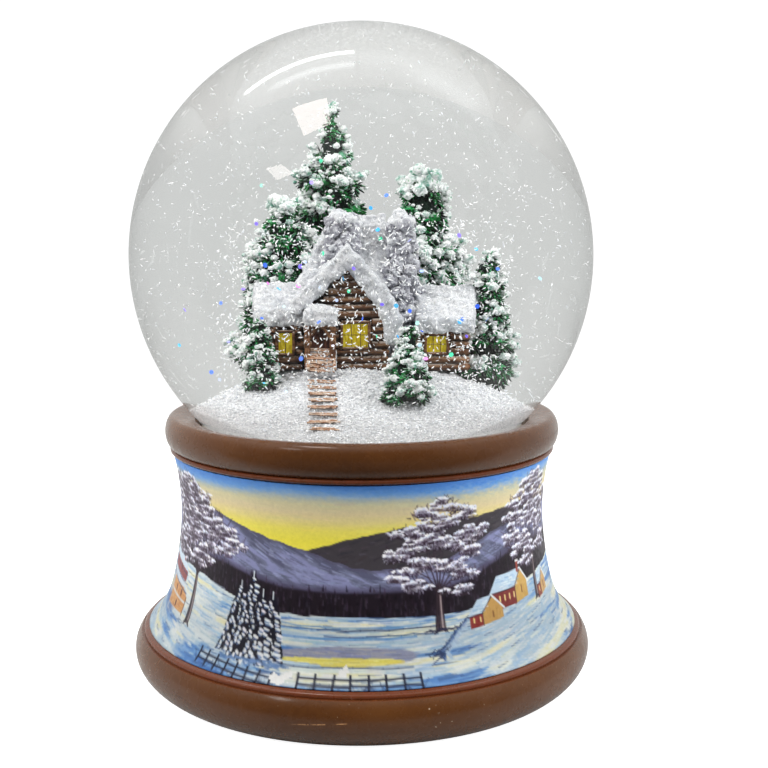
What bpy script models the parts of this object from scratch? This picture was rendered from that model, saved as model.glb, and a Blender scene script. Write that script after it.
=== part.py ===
"""A musical snow globe: glass globe with a cabin scene, on a pedestal that hides a wind-up movement.

Sizes are in millimetres and become metres when a mesh is made. The origin is the centre of the
underside, +Z is up and the front faces -Y.
"""

import math

import bmesh
import bpy
from mathutils import Euler, Vector

MM = 0.001
GAP = 0.3

# Globe
GLOBE_RADIUS = 60.0
GLASS_WALL = 2.5
GLOBE_CENTRE_Z = 109.2
NECK_RADIUS = 41.0
NECK_BOTTOM_Z = 57.7
LIQUID_GAP = 0.7

# Pedestal
CREST_RADIUS, CREST_Z = 49.7, 65.05
CREST_HALF_WIDTH, CREST_HALF_HEIGHT = 2.3, 4.1
FOOT_RADIUS, FOOT_Z = 49.55, 7.6
FOOT_HALF_WIDTH, FOOT_HALF_HEIGHT = 11.45, 8.9
WAIST_RADIUS, WAIST_Z = 48.2, 44.0
BAND_TOP_Z, BAND_BOTTOM_Z = 59.4, 13.8
BAND_THICKNESS = 0.45
BAND_STEPS = 7
UNDERSIDE_Z = 0.6
THROAT_RADIUS = 44.2
CAVITY_RADIUS = 43.5
RECESS_RADIUS = 43.2
LEDGE_TOP_Z, LEDGE_BOTTOM_Z = 54.0, 50.0
COVER_TOP_Z, COVER_THICKNESS = 15.0, 2.0
COVER_SCREW_CIRCLE, COVER_SCREW_START = 40.6, 30.0
SCREW_SHANK, SCREW_HOLE = 1.2, 1.5
PAD_CIRCLE, PAD_RADIUS = 50.0, 4.5
PEDESTAL_SEGMENTS = 40

# Scene inside the globe
MOUND_RADIUS = 37.5
MOUND_BOTTOM_Z = 66.8
GROUND_Z = 87.3
MOUND_FLAT_REACH, MOUND_FALL, MOUND_POWER = 14.0, 0.068, 1.6
STEP_COUNT = 9
STAIR_X, STAIR_HALF_WIDTH, STAIR_DEPTH = -8.9, 3.3, 2.2
STAIR_START_Y, STAIR_END_Y = -14.4, -33.5
STAIR_START_Z, STAIR_END_Z = 87.0, 72.6
ROOF_LIFT = 0.5
HOUSE_SLOPE, GABLE_SLOPE, LEFT_WING_SLOPE, RIGHT_WING_SLOPE = 1.7, 1.526, 1.12, 1.07
TRUNK_RADIUS, TRUNK_CLEARANCE = 0.9, 0.9

# Movement
WINDING_X = -15.0
CYLINDER_AXIS_Z = 35.5
CROWN_TEETH = 36
PINION_TEETH = 12
WHEEL_TEETH, GOVERNOR_TEETH, WHEEL_MODULE = 40, 10, 0.4
WHEEL_DEDENDUM, WHEEL_ADDENDUM = 0.5, 0.34
GOVERNOR_ANGLE = math.radians(-30)
ALONG_X = (0.0, math.radians(90), 0.0)
COMB_TEETH, COMB_PITCH, COMB_SLOT = 18, 1.0, 0.2
NOTE_TRACKS, NOTE_SEGMENTS, NOTE_RADIUS, PIN_HEIGHT = 18, 24, 6.5, 0.45
NOTE_LEFT, NOTE_RIGHT = 0.5, 19.0
CROWN_INNER, CROWN_OUTER, CROWN_ROOT_Z, CROWN_TIP_Z = 9.5, 11.5, 31.1, 32.7
CROWN_ROOT_SHARE, CROWN_TIP_SHARE = 0.56, 0.22


def clear_scene():
    for thing in list(bpy.data.objects):
        bpy.data.objects.remove(thing, do_unlink=True)


def material(name, colour, roughness, metallic=0.0, alpha=1.0):
    found = bpy.data.materials.get(name)
    if found:
        return found
    made = bpy.data.materials.new(name)
    made.use_nodes = True
    shader = made.node_tree.nodes["Principled BSDF"]
    shader.inputs["Base Color"].default_value = (*colour, 1.0)
    shader.inputs["Roughness"].default_value = roughness
    shader.inputs["Metallic"].default_value = metallic
    shader.inputs["Alpha"].default_value = alpha
    made.diffuse_color = (*colour, alpha)
    return made


def glass():
    return material("clear_glass", (0.95, 0.96, 0.96), 0.03, alpha=0.2)


def liquid():
    return material("clear_liquid", (0.9, 0.92, 0.92), 0.02, alpha=0.15)


def brown_paint():
    return material("brown_paint", (0.17, 0.095, 0.05), 0.38)


def picture_print():
    return material("picture_print", (0.34, 0.42, 0.55), 0.45)


def snow():
    return material("snow_white", (0.86, 0.87, 0.88), 0.8)


def log_brown():
    return material("log_brown", (0.2, 0.1, 0.05), 0.7)


def dark_wood():
    return material("dark_wood", (0.06, 0.03, 0.02), 0.7)


def lit_window():
    return material("lit_window", (0.75, 0.6, 0.05), 0.4)


def stone_grey():
    return material("stone_grey", (0.35, 0.35, 0.38), 0.8)


def spruce_green():
    return material("spruce_green", (0.03, 0.12, 0.05), 0.75)


def rubber():
    return material("white_rubber", (0.62, 0.6, 0.56), 0.7)


def felt():
    return material("felt_pad", (0.06, 0.05, 0.045), 0.95)


def board():
    return material("black_board", (0.03, 0.03, 0.03), 0.6)


def steel():
    return material("bright_steel", (0.6, 0.6, 0.6), 0.3, metallic=1.0)


def zinc():
    return material("cast_zinc", (0.5, 0.5, 0.52), 0.45, metallic=1.0)


def brass():
    return material("brass", (0.7, 0.5, 0.2), 0.3, metallic=1.0)


def finish(name, mesh, looks, at=(0.0, 0.0, 0.0), turn=(0.0, 0.0, 0.0)):
    """Scales a bmesh in millimetres to metres and links it as one object."""
    bmesh.ops.scale(mesh, vec=(MM, MM, MM), verts=mesh.verts)
    bmesh.ops.recalc_face_normals(mesh, faces=mesh.faces)
    data = bpy.data.meshes.new(name)
    mesh.to_mesh(data)
    mesh.free()
    data.materials.append(looks)
    data.shade_smooth()
    data.set_sharp_from_angle(angle=math.radians(35))
    made = bpy.data.objects.new(name, data)
    made.location = Vector(at) * MM
    made.rotation_euler = Euler(turn)
    bpy.context.scene.collection.objects.link(made)
    return made


def arc(centre, half_width, half_height, start, end, count):
    """Points on an ellipse, from the start angle to the end angle in degrees."""
    points = []
    for i in range(count + 1):
        angle = math.radians(start + (end - start) * i / count)
        radius = centre[0] + half_width * math.cos(angle)
        points.append((radius, centre[1] + half_height * math.sin(angle)))
    return points


def sphere_arc(ball_radius, end_radius, count):
    """Points on the globe's section, from its top down past the middle to end_radius below."""
    end = math.degrees(math.acos(end_radius / ball_radius))
    points = arc((0.0, GLOBE_CENTRE_Z), ball_radius, ball_radius, 90, -end, count)
    points[0] = (0.0, points[0][1])
    return points


def turned_mesh(profile, segments):
    """A solid of revolution. A profile with both ends on the axis is closed by them, any other is a ring."""
    mesh = bmesh.new()
    rings = []
    for radius, z in profile:
        if radius < 1e-6:
            rings.append([mesh.verts.new((0.0, 0.0, z))])
            continue
        ring = []
        for i in range(segments):
            angle = math.tau * i / segments
            ring.append(mesh.verts.new((radius * math.cos(angle), radius * math.sin(angle), z)))
        rings.append(ring)
    pairs = list(zip(rings, rings[1:]))
    if len(rings[0]) > 1:
        pairs.append((rings[-1], rings[0]))
    for one, two in pairs:
        for i in range(segments):
            j = (i + 1) % segments
            corners = [one[i % len(one)], one[j % len(one)], two[j % len(two)], two[i % len(two)]]
            corners = list(dict.fromkeys(corners))
            if len(corners) > 2:
                mesh.faces.new(corners)
    return mesh


def turned(name, profile, looks, segments=32, at=(0.0, 0.0, 0.0), turn=(0.0, 0.0, 0.0)):
    return finish(name, turned_mesh(profile, segments), looks, at, turn)


def prism_mesh(outline, low, high):
    """A prism on an outline in X and Y, from low to high along Z."""
    mesh = bmesh.new()
    bottom = [mesh.verts.new((x, y, low)) for x, y in outline]
    top = [mesh.verts.new((x, y, high)) for x, y in outline]
    mesh.faces.new(bottom)
    mesh.faces.new(top)
    for i in range(len(outline)):
        j = (i + 1) % len(outline)
        mesh.faces.new((bottom[i], bottom[j], top[j], top[i]))
    return mesh


def prism(name, outline, low, high, looks, at=(0.0, 0.0, 0.0), turn=(0.0, 0.0, 0.0)):
    return finish(name, prism_mesh(outline, low, high), looks, at, turn)


def prism_along_y(name, outline_xz, front, back, looks):
    """A prism on an outline in X and Z, between two places along Y."""
    mesh = prism_mesh([(x, z) for x, z in outline_xz], front, back)
    for vert in mesh.verts:
        vert.co = Vector((vert.co.x, vert.co.z, vert.co.y))
    return finish(name, mesh, looks)


def prism_along_x(name, outline_yz, left, right, looks):
    """A prism on an outline in Y and Z, between two places along X."""
    mesh = prism_mesh([(y, z) for y, z in outline_yz], left, right)
    for vert in mesh.verts:
        vert.co = Vector((vert.co.z, vert.co.x, vert.co.y))
    return finish(name, mesh, looks)


def box(name, low, high, looks):
    outline = [(low[0], low[1]), (high[0], low[1]), (high[0], high[1]), (low[0], high[1])]
    return prism(name, outline, low[2], high[2], looks)


def circle_outline(radius, segments):
    angles = [math.tau * i / segments for i in range(segments)]
    return [(radius * math.cos(angle), radius * math.sin(angle)) for angle in angles]


def tube_profile(inner, outer, low, high):
    return [(inner, high), (outer, high), (outer, low), (inner, low)]


def rod_profile(radius, low, high):
    return [(0.0, high), (radius, high), (radius, low), (0.0, low)]


def combine(target, tool, operation):
    """Adds a Boolean with a hidden tool object."""
    tool.hide_render = True
    tool.display_type = "WIRE"
    change = target.modifiers.new(operation.lower() + "_" + tool.name, "BOOLEAN")
    change.operation = operation
    change.solver = "EXACT"
    change.object = tool


def drill(target, name, radius, low, high, at, segments=16):
    """Cuts a round vertical hole through the target."""
    combine(target, prism(name, circle_outline(radius, segments), low, high, steel(), at), "DIFFERENCE")


def waist_radius(z):
    """The concave side of the pedestal, which flares more towards the foot."""
    if z > WAIST_Z:
        return WAIST_RADIUS + 1.9 * ((z - WAIST_Z) / 16) ** 2
    share = (WAIST_Z - z) / 28
    return WAIST_RADIUS + 4.6 * share**1.6 + 2.3 * share**7


def waist_points(inset, count, low=BAND_BOTTOM_Z, high=BAND_TOP_Z):
    points = []
    for i in range(count + 1):
        z = high + (low - high) * i / count
        points.append((waist_radius(z) - inset, z))
    return points


def make_glass_globe():
    inner_radius = GLOBE_RADIUS - GLASS_WALL
    neck_inner = NECK_RADIUS - GLASS_WALL
    outer = sphere_arc(GLOBE_RADIUS, NECK_RADIUS, 16)
    inner = sphere_arc(inner_radius, neck_inner, 13)
    neck = [(NECK_RADIUS, NECK_BOTTOM_Z), (neck_inner, NECK_BOTTOM_Z)]
    return turned("glass_globe", outer + neck + inner[::-1], glass(), 36)


def make_liquid():
    """The liquid round the scene. Its inner hollow clears the figures and opens at the stopper."""
    ball_radius = GLOBE_RADIUS - GLASS_WALL - LIQUID_GAP
    outer = sphere_arc(ball_radius, 40.0, 11)
    round_mound = MOUND_RADIUS + 0.7
    hollow = [
        (round_mound, outer[-1][1]),
        (round_mound, 77.5),
        (34.5, 81.0),
        (33.8, 104.0),
        (28.0, 119.0),
        (23.5, 131.0),
        (21.5, 141.0),
        (0.0, 142.0),
    ]
    return turned("liquid_fill", outer + hollow, liquid(), 24)


def make_stopper():
    plug_radius = NECK_RADIUS - GLASS_WALL - GAP
    profile = [
        (0.0, 66.5),
        (plug_radius, 66.5),
        (plug_radius, NECK_BOTTOM_Z - GAP),
        (42.6, NECK_BOTTOM_Z - GAP),
        (42.6, LEDGE_TOP_Z + GAP),
        (31.0, LEDGE_TOP_Z + GAP),
        (31.0, 60.0),
        (0.0, 60.0),
    ]
    return turned("globe_stopper", profile, rubber(), 32)


def make_sealant():
    profile = tube_profile(NECK_RADIUS + GAP, THROAT_RADIUS - GAP, 58.0, 64.2)
    return turned("sealant_ring", profile, rubber(), 32)


def pedestal_profile():
    """The section of the casting, from the seat over the crest and down the outside, then up inside."""
    seat = [(THROAT_RADIUS, 67.8), (46.5, 68.55), (48.4, 69.05)]
    crest = arc((CREST_RADIUS, CREST_Z), CREST_HALF_WIDTH, CREST_HALF_HEIGHT, 88, -80, 6)
    upper_bead = [(49.5, 60.95), (50.6, 60.7), (50.75, 60.2), (50.3, 59.75)]
    behind_band = waist_points(BAND_THICKNESS + GAP, BAND_STEPS)
    lower_bead = [(57.9, 13.5), (58.5, 12.8), (58.5, 12.3)]
    foot = arc((FOOT_RADIUS, FOOT_Z), FOOT_HALF_WIDTH, FOOT_HALF_HEIGHT, 32, -51.9, 7)
    underside = [(RECESS_RADIUS, UNDERSIDE_Z), (RECESS_RADIUS, COVER_TOP_Z + GAP)]
    cover_ledge = [(38.8, COVER_TOP_Z + GAP), (38.8, 20.0), (CAVITY_RADIUS, 20.0)]
    globe_ledge = [
        (CAVITY_RADIUS, LEDGE_BOTTOM_Z),
        (36.0, LEDGE_BOTTOM_Z),
        (36.0, LEDGE_TOP_Z),
        (THROAT_RADIUS, LEDGE_TOP_Z),
    ]
    outside = seat + crest + upper_bead + behind_band + lower_bead + foot
    return outside + underside + cover_ledge + globe_ledge


def spread(count, radius, start=0.0):
    """Places evenly spaced on a circle round the pedestal's axis."""
    places = []
    for i in range(count):
        angle = math.radians(start) + math.tau * i / count
        places.append((radius * math.cos(angle), radius * math.sin(angle), 0.0))
    return places


def make_pedestal():
    casting = turned("pedestal_casting", pedestal_profile(), brown_paint(), PEDESTAL_SEGMENTS)
    for i, place in enumerate(cover_screw_places()):
        drill(casting, f"ledge_hole_{i + 1}", SCREW_HOLE, 14.0, 22.0, place)
    return casting


def make_picture_band():
    outer = waist_points(0.0, BAND_STEPS)
    inner = waist_points(BAND_THICKNESS, BAND_STEPS)
    return turned("picture_band", outer + inner[::-1], picture_print(), PEDESTAL_SEGMENTS)


def cover_screw_places():
    return spread(3, COVER_SCREW_CIRCLE, COVER_SCREW_START)


def movement_screw_places():
    return [(27.0, -16.5, 0.0), (-27.0, 8.0, 0.0)]


def make_cover():
    low = COVER_TOP_Z - COVER_THICKNESS
    outline = circle_outline(RECESS_RADIUS - GAP, 48)
    cover = prism("bottom_cover", outline, low, COVER_TOP_Z, board())
    drill(cover, "cover_key_hole", 4.5, low - 1, COVER_TOP_Z + 1, (WINDING_X, 0.0, 0.0))
    for i, place in enumerate(cover_screw_places() + movement_screw_places()):
        drill(cover, f"cover_hole_{i + 1}", SCREW_HOLE, low - 1, COVER_TOP_Z + 1, place, 12)
    return cover


def make_screw(name, place, head_radius, head_low, head_high, tip, slot_up=False):
    """A pan-head screw with a slot across the head. The tip lies above or below the head."""
    chamfer = 0.4
    crown = head_radius - chamfer
    if tip > head_high:
        profile = [(0.0, tip), (SCREW_SHANK, tip), (SCREW_SHANK, head_high), (head_radius, head_high)]
        profile += [(head_radius, head_low + chamfer), (crown, head_low), (0.0, head_low)]
    else:
        profile = [(0.0, head_high), (crown, head_high), (head_radius, head_high - chamfer)]
        profile += [(head_radius, head_low), (SCREW_SHANK, head_low), (SCREW_SHANK, tip), (0.0, tip)]
    screw = turned(name, profile, steel(), 12, place)
    face = head_high if slot_up else head_low
    half_width, depth = 0.25, 0.35
    reach = head_radius + 1.0
    outline = [(-reach, -half_width), (reach, -half_width), (reach, half_width), (-reach, half_width)]
    slot = prism(name + "_slot", outline, face - depth, face + depth, steel(), place)
    combine(screw, slot, "DIFFERENCE")


def make_underside_fasteners():
    head_high = COVER_TOP_Z - COVER_THICKNESS - GAP
    head_low, head_radius = head_high - 1.2, 2.2
    cover_tip, movement_tip = 19.5, 17.5
    for i, place in enumerate(cover_screw_places()):
        make_screw(f"cover_screw_{i + 1}", place, head_radius, head_low, head_high, cover_tip)
    for i, place in enumerate(movement_screw_places()):
        make_screw(f"movement_screw_{i + 1}", place, head_radius, head_low, head_high, movement_tip)


def make_felt_pads():
    """Pads under the foot's flat rim. The object rests on them."""
    for i, place in enumerate(spread(3, PAD_CIRCLE, 90.0)):
        turned(f"felt_pad_{i + 1}", rod_profile(PAD_RADIUS, 0.0, UNDERSIDE_Z - GAP), felt(), 16, place)


def mound_height(x, y):
    """Level round the cabin, falling to the rim and more quickly towards the front."""
    reach = math.hypot(x, y * (1.35 if y < 0 else 1.0))
    return GROUND_Z - GAP - MOUND_FALL * max(reach - MOUND_FLAT_REACH, 0.0) ** MOUND_POWER


def make_mound():
    mesh = bmesh.new()
    segments, rings = 32, 6
    centre = mesh.verts.new((0.0, 0.0, mound_height(0.0, 0.0)))
    grid = []
    for k in range(1, rings + 1):
        radius = MOUND_RADIUS * k / rings
        ring = []
        for i in range(segments):
            x = radius * math.cos(math.tau * i / segments)
            y = radius * math.sin(math.tau * i / segments)
            ring.append(mesh.verts.new((x, y, max(mound_height(x, y), MOUND_BOTTOM_Z + 1.5))))
        grid.append(ring)
    grid.append([mesh.verts.new((v.co.x, v.co.y, MOUND_BOTTOM_Z)) for v in grid[-1]])
    for i in range(segments):
        j = (i + 1) % segments
        mesh.faces.new((centre, grid[0][i], grid[0][j]))
        for inner, outer in zip(grid, grid[1:]):
            mesh.faces.new((inner[i], outer[i], outer[j], inner[j]))
    mesh.faces.new(grid[-1])
    mound = finish("snow_mound", mesh, snow())
    combine(mound, stair_trench(), "DIFFERENCE")


def stair_outline():
    """The stepped top of the stair and its sloping underside, in Y and Z."""
    run = (STAIR_END_Y - STAIR_START_Y) / STEP_COUNT
    rise = (STAIR_END_Z - STAIR_START_Z) / STEP_COUNT
    outline = []
    for i in range(STEP_COUNT):
        outline.append((STAIR_START_Y + run * i, STAIR_START_Z + rise * i))
        outline.append((STAIR_START_Y + run * (i + 1), STAIR_START_Z + rise * i))
    outline.append((STAIR_END_Y, STAIR_END_Z - STAIR_DEPTH))
    outline.append((STAIR_START_Y, STAIR_START_Z - STAIR_DEPTH))
    return outline


def make_stair():
    left, right = STAIR_X - STAIR_HALF_WIDTH, STAIR_X + STAIR_HALF_WIDTH
    prism_along_x("garden_steps", stair_outline(), left, right, log_brown())


def stair_trench():
    """The slot that the stair lies in: a gap wider all round, open above and past the mound's edge."""
    headroom, overrun = 8.0, 8.0
    slope = (STAIR_END_Z - STAIR_START_Z) / (STAIR_END_Y - STAIR_START_Y)
    depth = STAIR_DEPTH + GAP
    back, front = STAIR_START_Y + GAP, STAIR_END_Y - overrun
    outline = [
        (back, STAIR_START_Z + headroom),
        (front, STAIR_START_Z + headroom),
        (front, STAIR_END_Z - depth - slope * overrun),
        (back, STAIR_START_Z - depth),
    ]
    reach = STAIR_HALF_WIDTH + GAP
    return prism_along_x("stair_trench", outline, STAIR_X - reach, STAIR_X + reach, snow())


def gable(centre, half_width, eave, apex, ground=GROUND_Z):
    """A house end: upright walls under a pointed roof."""
    return [
        (centre - half_width, ground),
        (centre + half_width, ground),
        (centre + half_width, eave),
        (centre, apex),
        (centre - half_width, eave),
    ]


def roof_outline(centre, reach_low, reach_high, apex, slope, lift, thickness):
    """A bent slab over a gable: lift is its height over the apex, reach how far it runs either way."""
    inner, outer = apex + lift, apex + lift + thickness
    return [
        (centre - reach_low, inner - slope * reach_low),
        (centre, inner),
        (centre + reach_high, inner - slope * reach_high),
        (centre + reach_high, outer - slope * reach_high),
        (centre, outer),
        (centre - reach_low, outer - slope * reach_low),
    ]


def make_cabin():
    prism_along_y("gable_walls", gable(-2.9, 7.6, 97.0, 108.6), -9.0, -3.95, log_brown())
    prism_along_x("house_walls", gable(3.0, 6.2, 104.5, 115.0), -10.0, 3.9, log_brown())
    prism_along_x("left_wing_walls", gable(-2.6, 4.9, 97.5, 103.0), -20.0, -12.2, log_brown())
    prism_along_x("right_wing_walls", gable(1.0, 5.6, 95.5, 101.5), 11.2, 20.6, log_brown())


def make_roofs():
    rear = roof_outline(3.0, 6.6, 6.6, 115.0, HOUSE_SLOPE, ROOF_LIFT + 0.2, 2.4)
    prism_along_x("house_roof", rear, -10.6, 4.6, snow())
    front = roof_outline(-2.9, 8.6, 9.9, 108.6, GABLE_SLOPE, ROOF_LIFT + 0.1, 2.4)
    front = prism_along_y("gable_roof", front, -11.0, 3.0, snow())
    behind = [(-3.9, 80.0), (-3.9, 106.9), (3.0, 118.63), (9.0, 118.63), (9.0, 80.0)]
    combine(front, prism_along_x("roof_trim", behind, -20.0, 20.0, snow()), "DIFFERENCE")
    left = roof_outline(-2.6, 6.4, 5.2, 103.0, LEFT_WING_SLOPE, ROOF_LIFT, 2.0)
    prism_along_x("left_wing_roof", left, -21.3, -12.0, snow())
    right = roof_outline(1.0, 7.2, 6.0, 101.5, RIGHT_WING_SLOPE, ROOF_LIFT, 2.0)
    prism_along_x("right_wing_roof", right, 10.9, 22.2, snow())
    box("porch_roof", (-11.7, -14.4, 96.2), (-5.4, -11.3, 99.4), snow())


def make_porch():
    post = rod_profile(0.6, GROUND_Z, 95.9)
    for i, x in enumerate((-11.1, -6.0)):
        turned(f"porch_post_{i + 1}", post, log_brown(), 8, (x, -13.6, 0.0))
    box("cabin_door", (-10.2, -9.9, 87.6), (-6.2, -9.3, 95.2), dark_wood())


def make_windows():
    places = {
        "front_window": ((-4.2, -9.9, 91.4), (1.6, -9.3, 97.0)),
        "left_window": ((-17.2, -8.4, 90.2), (-13.6, -7.8, 95.2)),
        "right_window": ((12.6, -5.5, 90.4), (17.3, -4.9, 94.4)),
    }
    for name, (low, high) in places.items():
        box(name, low, high, lit_window())


def make_chimneys():
    outline = [(-3.4, 112.4), (-0.8, 112.4), (1.7, 116.9), (-3.4, 116.9)]
    prism_along_x("roof_chimney", outline, -6.0, -1.8, stone_grey())
    sides = [(5.0, -3.0), (6.2, -3.2), (9.6, -3.1), (10.6, -2.2), (10.6, 1.2), (5.2, 1.4)]
    prism("stone_chimney", sides, GROUND_Z, 119.0, stone_grey())


def make_spruce(name, x, y, top, base, radius, tiers):
    """A stack of open skirts on a trunk that ends just over the mound, as one solid."""
    height = top - base
    foot = mound_height(x, y) + TRUNK_CLEARANCE
    profile = [(0.0, top)]
    for k in range(1, tiers + 1):
        z = top - height * k / tiers
        skirt = radius * (0.25 + 0.75 * k / tiers)
        profile.append((skirt, z))
        if k < tiers:
            profile.append((skirt * 0.6, z + 0.12 * height / tiers))
    if foot < base:
        profile += [(TRUNK_RADIUS, base), (TRUNK_RADIUS, foot)]
    profile.append((0.0, min(foot, base)))
    return turned(name, profile, spruce_green(), 12, (x, y, 0.0))


def make_spruces():
    """Name, place, top, lower edge of the skirts, radius there and number of skirts."""
    make_spruce("spruce_tall", -5.0, 18.5, 138.6, 88.0, 8.6, 6)
    make_spruce("spruce_rear_left", -19.6, 9.8, 117.5, 87.6, 6.5, 5)
    make_spruce("spruce_rear_right", 12.4, 15.6, 126.0, 87.6, 7.6, 5)
    make_spruce("spruce_far_right", 26.6, 3.0, 111.0, 86.8, 4.5, 4)
    make_spruce("spruce_front_left", -20.3, -13.6, 98.2, 86.0, 4.2, 3)
    make_spruce("spruce_front_right_1", 9.6, -15.2, 97.5, 87.4, 3.2, 3)
    make_spruce("spruce_front_right_2", 9.4, -22.8, 92.6, 84.6, 4.1, 3)


def gear_outline(teeth, root, tip, root_share, tip_share, start=0.0):
    """A gear with straight-sided teeth. The shares are the tooth's width over the pitch at each radius."""
    points = []
    for i in range(teeth):
        middle = start + math.tau * i / teeth
        for radius, share, side in (
            (root, root_share, -1),
            (tip, tip_share, -1),
            (tip, tip_share, 1),
            (root, root_share, 1),
        ):
            angle = middle + side * share * math.pi / teeth
            points.append((radius * math.cos(angle), radius * math.sin(angle)))
    return points


def gear_along_x(name, outline, bore, left, right, at, looks):
    """A gear on an axle along X, with its origin on the axle. The outline's first axis points up."""
    mesh = prism_mesh(outline, left, right)
    for vert in mesh.verts:
        vert.co = Vector((vert.co.z, vert.co.y, vert.co.x))
    made = finish(name, mesh, looks, at)
    hole = turned(name + "_bore", rod_profile(bore, left - 1, right + 1), looks, 12, at, ALONG_X)
    combine(made, hole, "DIFFERENCE")


def make_bedplate():
    plate = box("movement_bedplate", (-28.0, -21.0, COVER_TOP_Z + GAP), (32.2, 13.0, 18.3), zinc())
    combine(plate, box("comb_riser", (-1.0, -20.8, 17.0), (20.5, -14.5, 34.6), zinc()), "UNION")
    drill(plate, "bedplate_arbor_hole", 1.68, 14.0, 20.0, (WINDING_X, 0.0, 0.0))
    for i, place in enumerate(movement_screw_places()):
        drill(plate, f"bedplate_hole_{i + 1}", SCREW_HOLE, 14.0, 20.0, place, 12)
    for i, place in enumerate(comb_screw_places()):
        drill(plate, f"riser_hole_{i + 1}", SCREW_HOLE, 29.0, 36.0, place, 12)


def comb_screw_places():
    return [(4.5, -17.8, 0.0), (15.0, -17.8, 0.0)]


def make_comb():
    """A steel plate with eighteen tuned teeth that end just short of the cylinder's pins."""
    left, tip, root, back = 0.75, -7.15, -13.5, -20.5
    right = left + COMB_TEETH * COMB_PITCH
    outline = [(right, back), (left, back)]
    for i in range(COMB_TEETH):
        x = left + i * COMB_PITCH
        if i:
            outline.append((x, root))
        tooth_end = x + COMB_PITCH - COMB_SLOT
        outline += [(x, tip), (tooth_end, tip), (tooth_end, root)]
    outline.append((right, root))
    comb = prism("sound_comb", outline, 34.9, 35.7, steel())
    for i, place in enumerate(comb_screw_places()):
        drill(comb, f"comb_hole_{i + 1}", SCREW_HOLE, 34.0, 37.0, place, 12)
        make_screw(f"comb_screw_{i + 1}", place, 2.0, 36.0, 37.2, 30.0, slot_up=True)


def make_spring_barrel():
    wall, radius, low, high = 0.9, 10.0, 18.6, 27.6
    profile = [
        (radius - wall, high),
        (radius, high),
        (radius, low),
        (1.9, low),
        (1.9, low + wall),
        (radius - wall, low + wall),
    ]
    turned("spring_barrel", profile, zinc(), 24, (WINDING_X, 0.0, 0.0))


def make_mainspring():
    """A flat spiral strip between the arbor and the barrel's wall."""
    turns, points, half = 3.0, 12, 0.18
    first, last = 2.6, 8.4
    steps = int(turns * points)
    inner, outer = [], []
    for i in range(steps + 1):
        angle = math.tau * i / points
        radius = first + (last - first) * i / steps
        for side, line in ((-half, inner), (half, outer)):
            line.append(((radius + side) * math.cos(angle), (radius + side) * math.sin(angle)))
    prism("mainspring", inner + outer[::-1], 20.2, 26.4, steel(), (WINDING_X, 0.0, 0.0))


def make_winder():
    """The key, the arbor it turns and the crown wheel on top, all on the winding axis."""
    at = (WINDING_X, 0.0, 0.0)
    turned("winding_arbor", rod_profile(1.6, 5.6, 33.4), steel(), 16, at)
    hub = [(0.0, 3.4), (3.2, 3.4), (3.2, 12.0), (1.9, 12.0), (1.9, 5.3), (0.0, 5.3)]
    key = turned("winding_key", hub[::-1], brass(), 20, at)
    wing = prism_mesh(wing_outline(), -0.8, 0.8)
    for vert in wing.verts:
        vert.co = Vector((vert.co.x, vert.co.z, vert.co.y))
    combine(key, finish("key_wing", wing, brass(), at), "UNION")
    cleared = turned("key_bore", rod_profile(1.9, 5.3, 14.0), brass(), 20, at)
    combine(key, cleared, "DIFFERENCE")
    wheel = prism("drive_wheel", circle_outline(11.8, 36), 29.0, 31.1, brass(), at)
    combine(wheel, crown_ring(at), "UNION")
    drill(wheel, "drive_wheel_bore", 1.9, 28.0, 34.0, at)


def wing_outline():
    """Two rounded lobes of the key's grip, in X and Z."""
    right = arc((7.0, 5.8), 4.0, 3.6, -90, 90, 8)
    left = arc((-7.0, 5.8), 4.0, 3.6, 90, 270, 8)
    return right + left


def crown_line():
    """Angle and height of each corner along the toothed edge."""
    pitch = math.tau / CROWN_TEETH
    corners = []
    for i in range(CROWN_TEETH):
        middle = (i + 0.5) * pitch
        for share, z in (
            (-CROWN_ROOT_SHARE, CROWN_ROOT_Z),
            (-CROWN_TIP_SHARE, CROWN_TIP_Z),
            (CROWN_TIP_SHARE, CROWN_TIP_Z),
            (CROWN_ROOT_SHARE, CROWN_ROOT_Z),
        ):
            corners.append((middle + share * pitch / 2, z))
    return corners


def crown_ring(at):
    """A ring whose top edge is cut into teeth that stand up, for the pinion above."""
    mesh = bmesh.new()
    floor = CROWN_ROOT_Z - 1.1
    rows = []
    for radius in (CROWN_INNER, CROWN_OUTER):
        top, low = [], []
        for angle, z in crown_line():
            x, y = radius * math.cos(angle), radius * math.sin(angle)
            top.append(mesh.verts.new((x, y, z)))
            low.append(mesh.verts.new((x, y, floor)))
        rows += [top, low]
    inner_top, inner_low, outer_top, outer_low = rows
    count = len(inner_top)
    for one, two in (
        (inner_top, outer_top),
        (inner_low, outer_low),
        (inner_top, inner_low),
        (outer_top, outer_low),
    ):
        for i in range(count):
            j = (i + 1) % count
            mesh.faces.new((one[i], one[j], two[j], two[i]))
    return finish("crown_teeth", mesh, brass(), at)


def outer_faces(mesh):
    """The faces of the cylinder's outer side, while it still stands along Z."""
    found = []
    for face in mesh.faces:
        middle = face.calc_center_median()
        if math.hypot(middle.x, middle.y) > NOTE_RADIUS - 0.5 and abs(face.normal.z) < 0.5:
            found.append(face)
    return found


def split_into_tracks(mesh):
    """Cuts the cylinder's outer side across into one row of faces for each tooth of the comb."""
    mesh.normal_update()
    lengthwise = set()
    for face in outer_faces(mesh):
        for edge in face.edges:
            if abs(edge.verts[0].co.z - edge.verts[1].co.z) > 1.0:
                lengthwise.add(edge)
    edges = sorted(lengthwise, key=lambda edge: edge.index)
    bmesh.ops.subdivide_edges(mesh, edges=edges, cuts=NOTE_TRACKS - 1, use_grid_fill=True)
    mesh.normal_update()


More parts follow.
